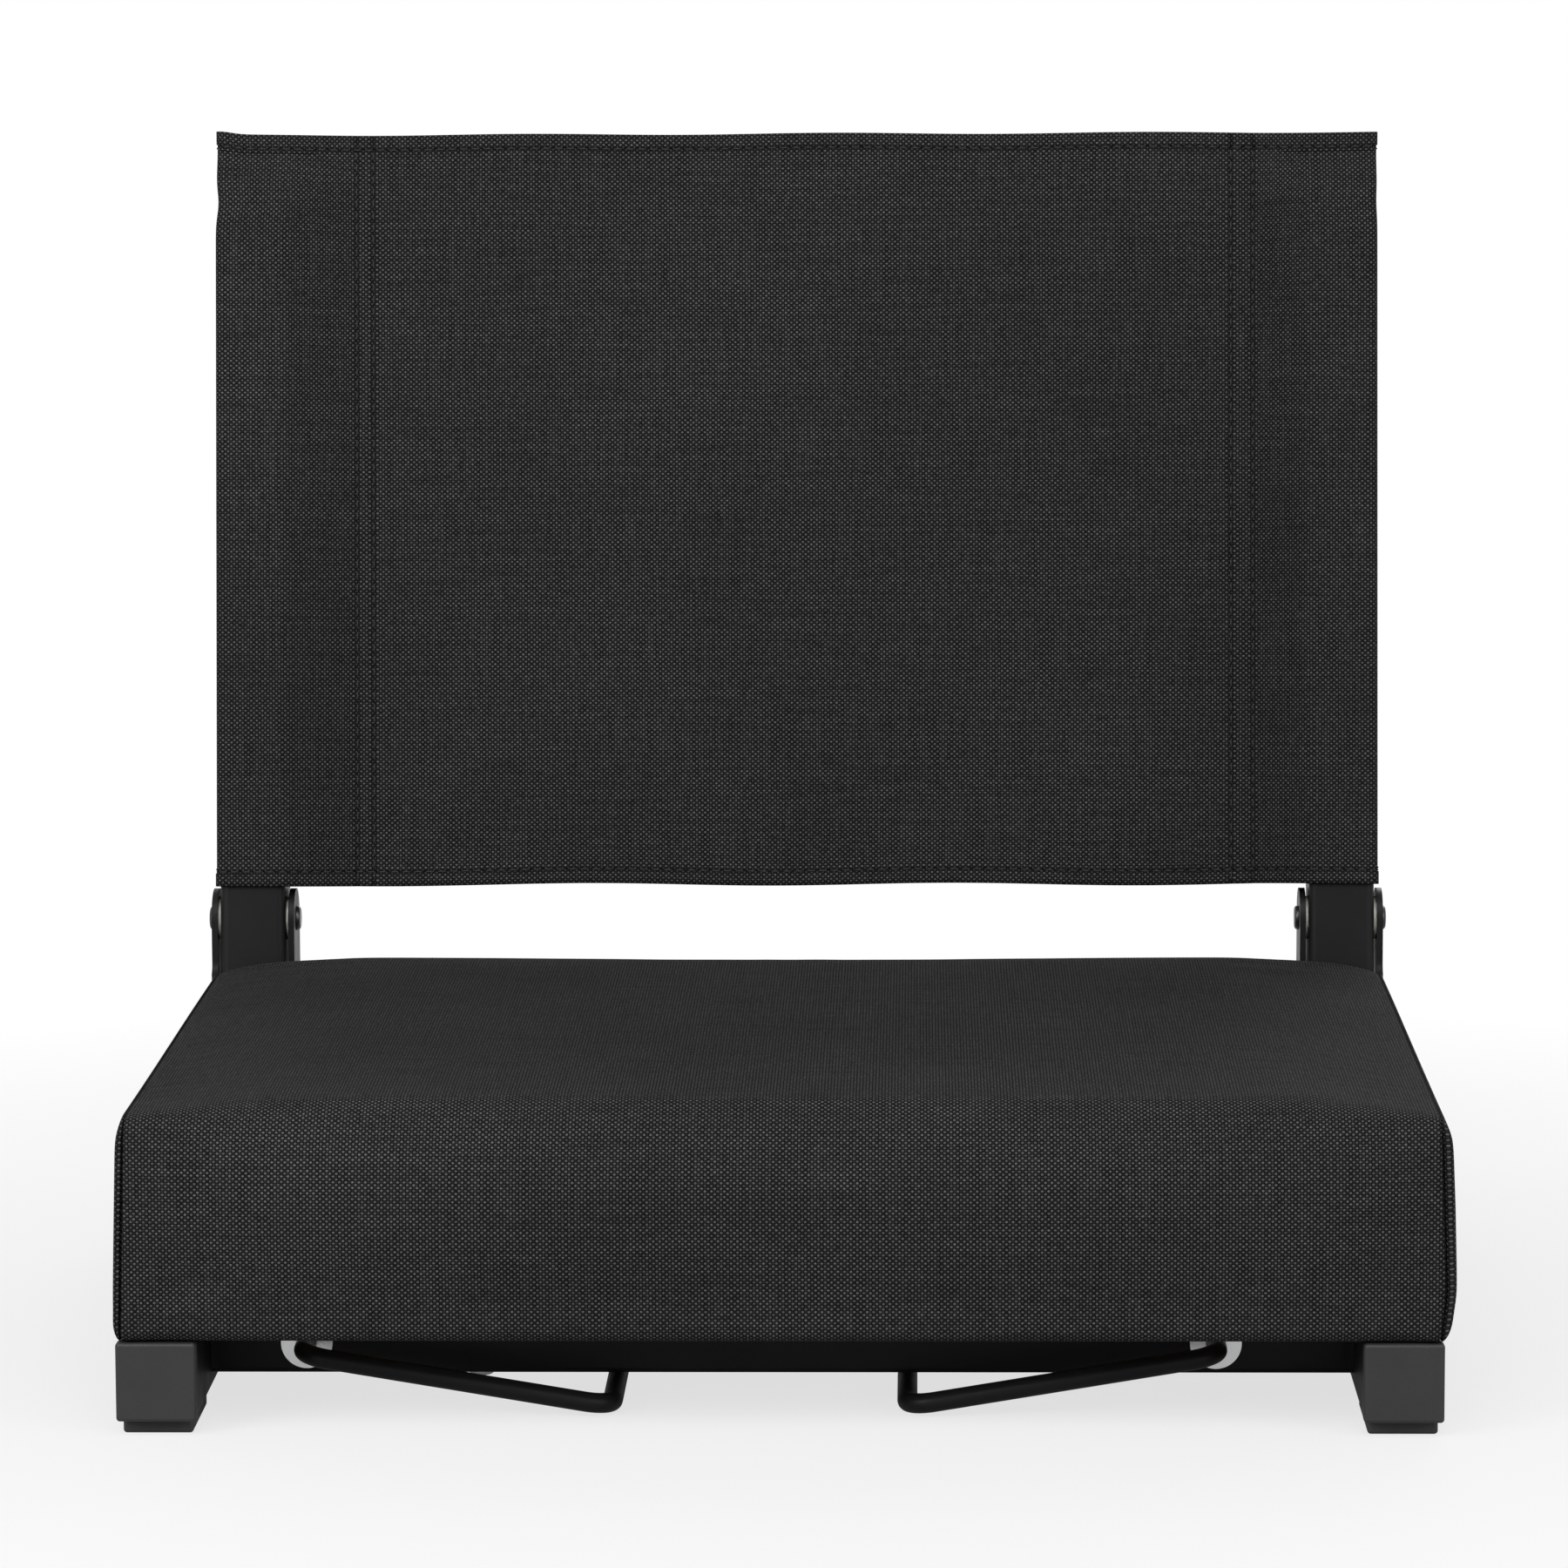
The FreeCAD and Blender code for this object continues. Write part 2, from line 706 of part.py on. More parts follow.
def sleeve_section(half, flat, cloth, inner_end):
    """Half of the sleeve's section: the pocket round a post, narrowing to the sewn line.

    flat scales its thickness, cloth draws it inwards, and inner_end holds its last corners.
    """
    out = rail_offset + half - cloth
    inner = rail_offset - half + cloth
    deep = (half - cloth) * flat
    bevel = dim("cap_round") * CORNER_CUT
    return [
        (inner, -deep, None),
        (out - bevel, -deep, None),
        (out, bevel * flat - deep, None),
        (out, deep - bevel * flat, None),
        (out - bevel, deep, None),
        (inner, deep, None),
    ] + inner_end


def sleeve_outline(body, offset, flat):
    """Sketch the whole outer contour of the sleeve at one height."""
    panel = dim("panel_cloth") / 2
    half = sleeve_section(back_half, flat, as_size(0), [(stitch, panel, None)])
    half = [(stitch, -panel, None)] + half
    other = [(-x, y, radius) for x, y, radius in reversed(half)]
    sketch = new_sketch(body, "XY_Plane", offset)
    outline(sketch, half + other)
    return sketch


def pocket_outline(body, sign, offset, flat):
    """Sketch the hollow of one pocket at one height."""
    seam = stitch + dim("seam_width")
    slit = dim("pocket_slit") / 2
    ends = [(seam, slit, None), (seam, -slit, None)]
    loop = sleeve_section(back_half, flat, dim("cloth"), ends)
    if sign < 0:
        loop = [(-x, y, radius) for x, y, radius in reversed(loop)]
    sketch = new_sketch(body, "XY_Plane", offset)
    outline(sketch, loop)
    return sketch


sleeve = new_body("back_sleeve", 0, pivot_y, pivot_height, LEFTWARD, recline)
full = as_size(1)
start = dim("sleeve_start")
pad(sleeve, sleeve_outline(sleeve, start, full), plug_top - start)
loft(sleeve, [
    sleeve_outline(sleeve, plug_top, full),
    sleeve_outline(sleeve, dim("sleeve_rise"), hem_share),
])
for name, sign in SIDES:
    cut_up(sleeve, pocket_outline(sleeve, sign, start, full), plug_top - start)
    loft(sleeve, [
        pocket_outline(sleeve, sign, plug_top, full),
        pocket_outline(sleeve, sign, dim("sleeve_rise") - dim("hem_height"), hem_share),
    ], "SubtractiveLoft")

# Bench hooks: rods bent to a U, one end through the crossbar, the arm resting just off the floor
rod = dim("hook_rod")
hook_y = front + dim("hook_arm_depth")
bar_front = front + dim("bar_depth")
clip_y = bar_front + bar_side + dim("running_fit")
clip_thickness = dim("hook_washer_thickness")
stub = clip_y + clip_thickness + dim("hook_tail") - hook_y
droop = arcsine((bar_middle - dim("hook_floor_gap") - rod / 2) / dim("hook_arm"))


def u_route(sketch, stub, arm, leg, bend):
    """Draw the rod's centre line: down the stub, along the arm and back up the leg."""
    radius = bend.value
    far = arm.value
    upward = FreeCAD.Vector(0, 0, 1)
    near_bend = Part.Circle(FreeCAD.Vector(radius, radius, 0), upward, radius)
    far_bend = Part.Circle(FreeCAD.Vector(far - radius, radius, 0), upward, radius)
    pieces = (
        Part.LineSegment(FreeCAD.Vector(0, stub.value, 0), FreeCAD.Vector(0, radius, 0)),
        Part.ArcOfCircle(near_bend, math.pi, 1.5 * math.pi),
        Part.LineSegment(FreeCAD.Vector(radius, 0, 0), FreeCAD.Vector(far - radius, 0, 0)),
        Part.ArcOfCircle(far_bend, 1.5 * math.pi, 2 * math.pi),
        Part.LineSegment(FreeCAD.Vector(far, radius, 0), FreeCAD.Vector(far, leg.value, 0)),
    )
    first, near, middle, turn, last = [sketch.addGeometry(piece) for piece in pieces]
    for before, after in ((first, near), (near, middle), (middle, turn), (turn, last)):
        sketch.addConstraint(Sketcher.Constraint("Tangent", before, 2, after, 1))
    fix_point(sketch, first, 1, 0, stub)
    fix_point(sketch, last, 2, arm, leg)
    drive(sketch, "DistanceX", -1, 1, first, 2, 0)
    for end in (1, 2):
        drive(sketch, "DistanceY", -1, 1, middle, end, 0)
    for corner in (near, turn):
        drive(sketch, "Radius", corner, bend)


for name, sign in SIDES:
    x = hook_places[name]
    angle = droop if sign < 0 else 180 - droop
    hook = new_body(f"{name}_bench_hook", x, hook_y, bar_middle, (0, 1, 0), angle)
    route = new_sketch(hook, "XY_Plane")
    u_route(route, stub, dim("hook_arm"), dim("hook_leg"), dim("hook_bend"))
    section = new_sketch(hook, "XZ_Plane", -stub)
    circle(section, 0, 0, rod)
    sweep = hook.newObject("PartDesign::AdditivePipe", "Pipe")
    sweep.Profile = section
    sweep.Spine = route
    doc.recompute()
    collars = (
        (f"{name}_hook_washer", bar_front - dim("running_fit") - clip_thickness, dim("hook_washer_outer")),
        (f"{name}_hook_clip", clip_y, dim("hook_clip_outer")),
    )
    for label, y, outer in collars:
        collar = new_body(label, x, y, bar_middle)
        ring = new_sketch(collar, "XZ_Plane", -clip_thickness)
        circle(ring, 0, 0, outer)
        circle(ring, 0, 0, rod)
        pad(collar, ring, clip_thickness)

# Check every object, then write one file for each sub-part
doc.recompute()
for item in doc.Objects:
    if "Invalid" in item.State or "Error" in item.State:
        raise RuntimeError(f"{item.Label} did not compute")
bodies = [item for item in doc.Objects if item.TypeId == "PartDesign::Body"]
for body in bodies:
    if body.Shape.isNull() or not body.Shape.isValid() or len(body.Shape.Solids) != 1:
        raise RuntimeError(f"{body.Label} is not one valid solid")
os.makedirs("parts", exist_ok=True)
for body in bodies:
    body.Shape.exportStep(f"parts/{body.Label}.step")
print(len(bodies), "sub-parts written")
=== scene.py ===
"""Looks of a folding stadium chair: padded seat, cloth back on two posts, swinging bench hooks.

Metres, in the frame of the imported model: X to the chair's right, Y to the rear, Z up.
"""
import json
import math

import bpy
import numpy as np
from mathutils import Euler, Matrix, Vector


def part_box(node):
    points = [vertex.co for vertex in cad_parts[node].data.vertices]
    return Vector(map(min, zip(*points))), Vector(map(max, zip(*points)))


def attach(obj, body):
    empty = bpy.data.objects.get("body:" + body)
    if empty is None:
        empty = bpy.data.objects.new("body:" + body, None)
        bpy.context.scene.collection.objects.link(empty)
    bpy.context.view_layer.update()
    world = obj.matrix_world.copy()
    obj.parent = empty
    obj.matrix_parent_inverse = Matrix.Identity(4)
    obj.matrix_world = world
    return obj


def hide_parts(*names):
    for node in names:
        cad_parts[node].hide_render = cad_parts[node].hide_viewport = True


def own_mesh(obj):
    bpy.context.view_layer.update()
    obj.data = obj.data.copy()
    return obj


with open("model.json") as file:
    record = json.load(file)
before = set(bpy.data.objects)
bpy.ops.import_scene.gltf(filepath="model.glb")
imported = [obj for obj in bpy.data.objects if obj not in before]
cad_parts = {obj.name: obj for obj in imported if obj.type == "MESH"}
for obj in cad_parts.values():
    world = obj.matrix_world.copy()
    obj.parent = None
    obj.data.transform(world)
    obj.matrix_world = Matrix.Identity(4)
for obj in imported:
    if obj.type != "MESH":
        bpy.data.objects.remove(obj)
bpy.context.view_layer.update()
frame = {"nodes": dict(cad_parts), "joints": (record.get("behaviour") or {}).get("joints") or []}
scene = bpy.context.scene

# Studio: a long lens a little above the seat, as a catalogue picture is taken, a pale floor
# that keeps the chair's soft shadow, and large diffused lamps, three in front and one behind.
scene.view_settings.view_transform = "Standard"

camera_down = math.radians(7.48)
camera_turn = math.radians(1.212)
camera_tilt = math.radians(-0.213)
camera_data = bpy.data.cameras.new("catalogue_camera")
camera_data.lens = 146.4
camera_data.sensor_width = 36.0
camera_data.sensor_fit = "HORIZONTAL"
camera = bpy.data.objects.new("catalogue_camera", camera_data)
scene.collection.objects.link(camera)
camera_aim = Euler((math.radians(90) - camera_down, 0.0, camera_turn)).to_matrix()
camera_roll = Matrix.Rotation(camera_tilt, 3, "Z")
camera.location = (0.0450, -2.1988, 0.4772)
camera.rotation_euler = (camera_aim @ camera_roll).to_euler()
scene.camera = camera


def add_node(tree, kind, inputs=(), **settings):
    """Add a shader node; inputs pairs a socket's name or number with a value or with a socket to link."""
    node = tree.nodes.new(kind)
    for name, value in settings.items():
        setattr(node, name, value)
    for key, value in inputs:
        if isinstance(value, bpy.types.NodeSocket):
            tree.links.new(value, node.inputs[key])
        else:
            node.inputs[key].default_value = value
    return node


def calculate(tree, operation, first, second=0.0):
    """One step of arithmetic on two values, as a Math node's output."""
    node = add_node(tree, "ShaderNodeMath", ((0, first), (1, second)), operation=operation)
    return node.outputs[0]


def seen_directly(tree):
    """1 for rays from the camera, and 1 for mirror-like and see-through bounces, each 0 for soft light."""
    path = add_node(tree, "ShaderNodeLightPath")
    bounced = calculate(tree, "MAXIMUM", path.outputs["Is Glossy Ray"], path.outputs["Is Transmission Ray"])
    return path.outputs["Is Camera Ray"], bounced


ambient_level = 0.34
world = bpy.data.worlds.new("white_studio")
scene.world = world
world.use_nodes = True
backdrop = world.node_tree.nodes["Background"]
backdrop.inputs["Color"].default_value = (1.0, 1.0, 1.0, 1.0)
direct = calculate(world.node_tree, "MAXIMUM", *seen_directly(world.node_tree))
extra = calculate(world.node_tree, "MULTIPLY", direct, 1.0 - ambient_level)
level = calculate(world.node_tree, "ADD", extra, ambient_level)
world.node_tree.links.new(level, backdrop.inputs["Strength"])

floor_reach = 30.0
shadow_near = 0.25
shadow_far = 0.7
white_near = {"camera": 0.72, "bounced": 0.15}
floor_mesh = bpy.data.meshes.new("floor")
floor_corners = [(x * floor_reach, y * floor_reach, 0.0) for x, y in ((-1, -1), (1, -1), (1, 1), (-1, 1))]
floor_mesh.from_pydata(floor_corners, [], [(0, 1, 2, 3)])
floor = bpy.data.objects.new("floor", floor_mesh)
scene.collection.objects.link(floor)
floor_paint = bpy.data.materials.new("pale_floor")
floor_paint.use_nodes = True
floor_tree = floor_paint.node_tree
floor_place = add_node(floor_tree, "ShaderNodeTexCoord").outputs["Object"]
floor_distance = add_node(floor_tree, "ShaderNodeVectorMath", ((0, floor_place),), operation="LENGTH")
floor_shares = []
for ray, near_share in zip(seen_directly(floor_tree), white_near.values()):
    far_away = add_node(floor_tree, "ShaderNodeMapRange", (
        ("Value", floor_distance.outputs["Value"]),
        ("From Min", shadow_near), ("From Max", shadow_far), ("To Min", near_share), ("To Max", 1.0),
    ))
    floor_shares.append(calculate(floor_tree, "MULTIPLY", ray, far_away.outputs["Result"]))
floor_share = calculate(floor_tree, "MAXIMUM", *floor_shares)
floor_white = add_node(floor_tree, "ShaderNodeEmission", (("Color", (1.0, 1.0, 1.0, 1.0)),))
floor_soft = floor_tree.nodes["Principled BSDF"]
floor_soft.inputs["Base Color"].default_value = (0.5, 0.5, 0.5, 1.0)
floor_soft.inputs["Roughness"].default_value = 0.9
floor_soft.inputs["Specular IOR Level"].default_value = 0.1
floor_mix = add_node(floor_tree, "ShaderNodeMixShader", (
    (0, floor_share), (1, floor_soft.outputs["BSDF"]), (2, floor_white.outputs["Emission"]),
))
floor_tree.links.new(floor_mix.outputs["Shader"], floor_tree.nodes["Material Output"].inputs["Surface"])
floor_mesh.materials.append(floor_paint)

lamp_target = Vector((0.0, 0.0, 0.2))
for lamp_name, place, power, side in (
    ("left_lamp", (-1.1, -1.2, 0.9), 22.0, 0.8),
    ("right_lamp", (2.2, -1.9, 1.4), 42.0, 1.5),
    ("front_lamp", (0.0, -2.0, 2.3), 46.0, 1.8),
    ("rear_lamp", (0.6, 2.2, 1.6), 26.0, 1.6),
):
    lamp_data = bpy.data.lights.new(lamp_name, "AREA")
    lamp_data.energy = power
    lamp_data.shape = "SQUARE"
    lamp_data.size = side
    lamp = bpy.data.objects.new(lamp_name, lamp_data)
    scene.collection.objects.link(lamp)
    lamp.location = place
    lamp_aim = lamp_target - lamp.location
    lamp.rotation_euler = lamp_aim.to_track_quat("-Z", "Y").to_euler()

# Steel frame: square tubes, pressed brackets and bent rod, all powder coated black after welding.
# The coat is satin, with a fine orange-peel surface and slightly uneven gloss.


def new_finish(name, colour, roughness, metallic=0.0, **constants):
    """Start a material and give its even values straight to the shader; returns it and its shader."""
    finish = bpy.data.materials.new(name)
    finish.use_nodes = True
    shader = finish.node_tree.nodes["Principled BSDF"]
    shader.inputs["Base Color"].default_value = (*colour, 1.0)
    shader.inputs["Roughness"].default_value = roughness
    shader.inputs["Metallic"].default_value = metallic
    for socket, value in constants.items():
        shader.inputs[socket.replace("_", " ")].default_value = value
    return finish, shader


def grain(tree, scale, detail=2.0, stretch=(1.0, 1.0, 1.0)):
    """Noise fixed to the object, scale cells to the metre, stretched along its axes."""
    place = add_node(tree, "ShaderNodeTexCoord").outputs["Object"]
    mapping = add_node(tree, "ShaderNodeMapping", (("Vector", place), ("Scale", stretch)))
    noise = add_node(tree, "ShaderNodeTexNoise", (
        ("Vector", mapping.outputs["Vector"]), ("Scale", scale), ("Detail", detail),
    ))
    return noise.outputs["Fac"]


def blend_colours(tree, share, dark, light):
    """Mix two colours by a share from 0 to 1."""
    node = add_node(tree, "ShaderNodeMix", data_type="RGBA")
    tree.links.new(share, node.inputs[0])
    node.inputs[6].default_value = (*dark, 1.0)
    node.inputs[7].default_value = (*light, 1.0)
    return node.outputs[2]


def spread(tree, share, low, high):
    """Carry a noise value to the range from low to high, keeping its middle."""
    node = add_node(tree, "ShaderNodeMapRange", (
        ("Value", share), ("From Min", 0.3), ("From Max", 0.7), ("To Min", low), ("To Max", high),
    ))
    return node.outputs["Result"]


def raise_surface(tree, shader, height, distance, strength):
    """Bump the shader's normal by a height map."""
    node = add_node(tree, "ShaderNodeBump", (
        ("Height", height), ("Distance", distance), ("Strength", strength),
    ))
    tree.links.new(node.outputs["Normal"], shader.inputs["Normal"])


def finish_nodes(finish, *endings):
    """Give a finish to every node of the model whose name has one of the endings."""
    for name, node in frame["nodes"].items():
        if name.endswith(endings):
            node.data.materials.clear()
            node.data.materials.append(finish)


powder_coat, coat_shader = new_finish(
    "black_powder_coat", (0.006, 0.006, 0.0063), 0.4, Specular_IOR_Level=0.09,
)
coat_tree = powder_coat.node_tree
coat_patches = grain(coat_tree, 38.0, 4.0)
coat_colour = blend_colours(coat_tree, coat_patches, (0.005, 0.005, 0.0053), (0.010, 0.010, 0.0104))
coat_tree.links.new(coat_colour, coat_shader.inputs["Base Color"])
coat_gloss = spread(coat_tree, grain(coat_tree, 90.0, 3.0), 0.36, 0.46)
coat_tree.links.new(coat_gloss, coat_shader.inputs["Roughness"])
raise_surface(coat_tree, coat_shader, grain(coat_tree, 650.0, 2.0), 0.0002, 0.16)
finish_nodes(powder_coat, "side_rail", "crossbar", "hinge_bracket", "back_post", "bench_hook")

# Rivets: steel rivets closed through the brackets and ears, the larger ones being the back's hinge pins.
# They are blackened, their heads rubbed a little bright.
rivet_black, rivet_shader = new_finish("blackened_rivet", (0.02, 0.02, 0.021), 0.32, 0.6)
rivet_tree = rivet_black.node_tree
rivet_wear = grain(rivet_tree, 420.0, 4.0)
rivet_colour = blend_colours(rivet_tree, rivet_wear, (0.012, 0.012, 0.0125), (0.06, 0.06, 0.061))
rivet_tree.links.new(rivet_colour, rivet_shader.inputs["Base Color"])
raise_surface(rivet_tree, rivet_shader, rivet_wear, 0.0001, 0.2)
finish_nodes(rivet_black, "pivot_rivet", "bracket_rivet")

# Hook washers, clips and seat screws: stamped or turned steel with a bright zinc plate,
# cloudy from the bath and finely scratched.
zinc_plate, zinc_shader = new_finish("zinc_plate", (0.62, 0.63, 0.64), 0.34, 1.0)
zinc_tree = zinc_plate.node_tree
zinc_cloud = grain(zinc_tree, 160.0, 5.0)
zinc_colour = blend_colours(zinc_tree, zinc_cloud, (0.50, 0.51, 0.52), (0.74, 0.75, 0.75))
zinc_tree.links.new(zinc_colour, zinc_shader.inputs["Base Color"])
zinc_tree.links.new(spread(zinc_tree, zinc_cloud, 0.26, 0.46), zinc_shader.inputs["Roughness"])
zinc_scratches = grain(zinc_tree, 300.0, 2.0, (1.0, 1.0, 14.0))
raise_surface(zinc_tree, zinc_shader, zinc_scratches, 0.00005, 0.25)
finish_nodes(zinc_plate, "hook_washer", "hook_clip", "screw")

# Pivot washers: thin discs on the hinge pins, between the ears and the posts.
# They are punched from natural nylon sheet, waxy and slightly yellow.
nylon, nylon_shader = new_finish("natural_nylon", (0.72, 0.70, 0.63), 0.45)
nylon_tree = nylon.node_tree
nylon_cloud = grain(nylon_tree, 220.0, 3.0)
nylon_colour = blend_colours(nylon_tree, nylon_cloud, (0.66, 0.64, 0.56), (0.78, 0.77, 0.70))
nylon_tree.links.new(nylon_colour, nylon_shader.inputs["Base Color"])
raise_surface(nylon_tree, nylon_shader, nylon_cloud, 0.0001, 0.1)
finish_nodes(nylon, "outer_washer", "inner_washer")

# End caps and tube plugs: mouldings pressed into the open ends of the rails and posts.
# They are charcoal polyethylene, with a fine spark-eroded grain from the mould.
cap_grey, cap_shader = new_finish("charcoal_moulding", (0.02, 0.02, 0.02), 0.55, Specular_IOR_Level=0.3)
cap_tree = cap_grey.node_tree
cap_cloud = grain(cap_tree, 70.0, 3.0)
cap_colour = blend_colours(cap_tree, cap_cloud, (0.014, 0.014, 0.0143), (0.020, 0.020, 0.0203))
cap_tree.links.new(cap_colour, cap_shader.inputs["Base Color"])
cap_tree.links.new(spread(cap_tree, cap_cloud, 0.50, 0.62), cap_shader.inputs["Roughness"])
raise_surface(cap_tree, cap_shader, grain(cap_tree, 1800.0, 2.0), 0.00015, 0.3)
finish_nodes(cap_grey, "front_cap", "rear_plug", "post_plug")

# Feet: four pads glued under the ends of the rails, which keep the steel off the bench.
# They are dull black rubber, with a dusting of scuffs.
foot_rubber, foot_shader = new_finish("foot_rubber", (0.012, 0.012, 0.012), 0.75)
foot_tree = foot_rubber.node_tree
foot_scuffs = grain(foot_tree, 240.0, 5.0)
foot_colour = blend_colours(foot_tree, foot_scuffs, (0.009, 0.009, 0.009), (0.020, 0.020, 0.0195))
foot_tree.links.new(foot_colour, foot_shader.inputs["Base Color"])
raise_surface(foot_tree, foot_shader, foot_scuffs, 0.0002, 0.3)
finish_nodes(foot_rubber, "_foot")

# Seat board: raw plywood under the pad, screwed to both crossbars and seen only from below.
# Its grain runs across the seat.
plywood, plywood_shader = new_finish("raw_plywood", (0.50, 0.36, 0.21), 0.7)
plywood_tree = plywood.node_tree
plywood_grain = grain(plywood_tree, 45.0, 6.0, (0.12, 1.6, 1.6))
plywood_colour = blend_colours(plywood_tree, plywood_grain, (0.36, 0.24, 0.13), (0.62, 0.47, 0.30))
plywood_tree.links.new(plywood_colour, plywood_shader.inputs["Base Color"])
raise_surface(plywood_tree, plywood_shader, plywood_grain, 0.0004, 0.3)
finish_nodes(plywood, "seat_board")

# Seat cushion: a thick foam pad in coarse black plain-woven polyester. One panel wraps the front, top
# and rear; a gusset is sewn in at each side; the cover turns in under the board and is stapled there.
yarn_across = 0.00104
yarn_along = 0.000905
# Painted shade along the rows of stitches: how dark the cloth's colour is made at a row, and the widths of
# the fully dark core and of the fade.
painted_groove_shade = 0.35
painted_shade_half_width = 0.0003
painted_shade_reach = 0.0012


def woven_cloth(name, shaded_rows_across=(), shaded_rows_along=()):
    """Plain weave on the piece's own metre map, with painted shade along each row of stitches.

    Two sine waves, one per yarn direction, multiply to a chequer of rounded yarn crossings: the
    product's size gives the height of a yarn over its gaps, its sign says which yarn is on top.
    The rows of stitches are given by their places across and along the map; near each one the colour is
    darkened as painted shade, standing in for the shadow in its groove.
    """
    finish, shader = new_finish(name, (0.02, 0.02, 0.021), 0.85, Specular_IOR_Level=0.03)
    tree = finish.node_tree
    cloth_map = add_node(tree, "ShaderNodeUVMap", uv_map="weave").outputs["UV"]
    axes = add_node(tree, "ShaderNodeSeparateXYZ", ((0, cloth_map),))
    across = calculate(tree, "SINE", calculate(tree, "MULTIPLY", axes.outputs["X"], math.pi / yarn_across))
    along = calculate(tree, "SINE", calculate(tree, "MULTIPLY", axes.outputs["Y"], math.pi / yarn_along))
    crossing = calculate(tree, "MULTIPLY", across, along)
    height = calculate(tree, "ABSOLUTE", crossing)
    weft_up = calculate(tree, "GREATER_THAN", crossing, 0.0)
    slubs = []
    for stretch in ((28.0, 800.0, 1.0), (800.0, 28.0, 1.0)):
        mapping = add_node(tree, "ShaderNodeMapping", (("Vector", cloth_map), ("Scale", stretch)))
        noise = add_node(tree, "ShaderNodeTexNoise", (
            ("Vector", mapping.outputs["Vector"]), ("Scale", 1.0), ("Detail", 2.0),
        ))
        slubs.append(noise.outputs["Fac"])
    weft_light = calculate(tree, "MULTIPLY", weft_up, spread(tree, slubs[0], 0.6, 1.0))
    warp_up = calculate(tree, "SUBTRACT", 1.0, weft_up)
    warp_light = calculate(tree, "MULTIPLY", warp_up, spread(tree, slubs[1], 0.06, 0.22))
    yarn = calculate(tree, "MULTIPLY", calculate(tree, "ADD", weft_light, warp_light), height)
    wear = spread(tree, grain(tree, 9.0, 3.0), 0.88, 1.10)
    fuzz = spread(tree, grain(tree, 700.0, 3.0), 0.65, 1.35)
    share = calculate(tree, "MULTIPLY", yarn, calculate(tree, "MULTIPLY", wear, fuzz))
    # Painted shade: the colour is darkened near each row of stitches, standing in for the shadow in its
    # groove.
    for axis, places in (("X", shaded_rows_across), ("Y", shaded_rows_along)):
        for place in places:
            away = calculate(tree, "ABSOLUTE", calculate(tree, "SUBTRACT", axes.outputs[axis], place))
            lit = add_node(tree, "ShaderNodeMapRange", (
                ("Value", away), ("From Min", painted_shade_half_width), ("From Max", painted_shade_reach),
                ("To Min", painted_groove_shade), ("To Max", 1.0),
            ))
            share = calculate(tree, "MULTIPLY", share, lit.outputs["Result"])
    colour = blend_colours(tree, share, (0.0020, 0.0020, 0.0021), (0.100, 0.100, 0.101))
    tree.links.new(colour, shader.inputs["Base Color"])
    raise_surface(tree, shader, height, 0.00028, 0.5)
    return finish


black_weave = woven_cloth("black_weave")
seat_low, seat_high = (np.array(corner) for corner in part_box("seat_cover"))
cover_lift = 0.0002
cover_inset = 0.0015
cover_lean = 0.002
board_clearance = 0.0004
seat_bottom = seat_low[2] + cover_lift
seat_edge_top = 0.1044
rear_lift = 0.0012
seat_crown = 0.0034
seat_front = seat_low[1] + cover_inset
seat_rear = seat_high[1] - cover_inset
seat_depth = seat_rear - seat_front
seam_bottom = {-1: 0.2128, 1: 0.2152}
seam_top = {-1: 0.2108, 1: 0.2128}
seam_dip = 0.0035
lip_inward = np.array([-0.0008, -0.0010, -0.0007, 0.0006, 0.0032])
lip_outward = np.array([0.16, 0.34, 0.60, 0.86, 1.0])
gusset_bulge = {-1: 0.0030, 1: 0.0038}
rear_corner = 0.020
front_corner = 0.002
turn_in = 0.028
turn_in_step = 0.001
foot_inset = 0.002
fold_depth = 0.0011
fold_reach = 0.028
board_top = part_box("seat_board")[1][2] + board_clearance
loop_count = 208
corner_steps = 12
side_steps = 60


def rounded_path(corners, radii, arc_steps, line_steps, closed):
    """Run along a polyline whose corners are rounded by arcs.

    Each corner gives an arc tangent to its two sides, each side a straight run between its
    arcs; both are read at even steps, so paths of the same counts match point for point.
    """
    corners = np.asarray(corners, float)
    count = len(corners)
    pieces = []
    for index in range(count):
        spot = corners[index]
        if closed or 0 < index < count - 1:
            before = corners[index - 1] - spot
            after = corners[(index + 1) % count] - spot
            before = before / np.linalg.norm(before)
            after = after / np.linalg.norm(after)
            half = np.arccos(np.clip(before @ after, -1, 1)) / 2
            reach = radii[index] / np.tan(half)
            share = np.linspace(0, 1, arc_steps)[:, None]
            chord = (spot + before * reach) * (1 - share) + (spot + after * reach) * share
            middle = spot + (before + after) / np.linalg.norm(before + after) * radii[index] / np.sin(half)
            outward = chord - middle
            pieces.append(middle + outward / np.linalg.norm(outward, axis=1, keepdims=True) * radii[index])
        else:
            pieces.append(spot[None, :])
    path = []
    for index in range(count if closed else count - 1):
        path.append(pieces[index])
        start = pieces[index][-1]
        end = pieces[(index + 1) % count][0]
        share = np.linspace(0, 1, line_steps + 2)[1:-1, None]
        path.append(start * (1 - share) + end * share)
    if not closed:
        path.append(pieces[-1])
    return np.concatenate(path)


def even_steps(path, count):
    """Read a closed path at count even steps of its length; also give the length at each step."""
    ring = np.concatenate([path, path[:1]])
    lengths = np.concatenate([[0], np.cumsum(np.linalg.norm(np.diff(ring, axis=0), axis=1))])
    steps = np.linspace(0, lengths[-1], count + 1)
    points = np.stack([np.interp(steps, lengths, ring[:, axis]) for axis in range(2)], 1)
    return points[:-1], steps


def smooth_step(value, low, high):
    """0 below low, 1 above high, with a cubic ease between."""
    share = np.clip((value - low) / (high - low), 0, 1)
    return share * share * (3 - 2 * share)


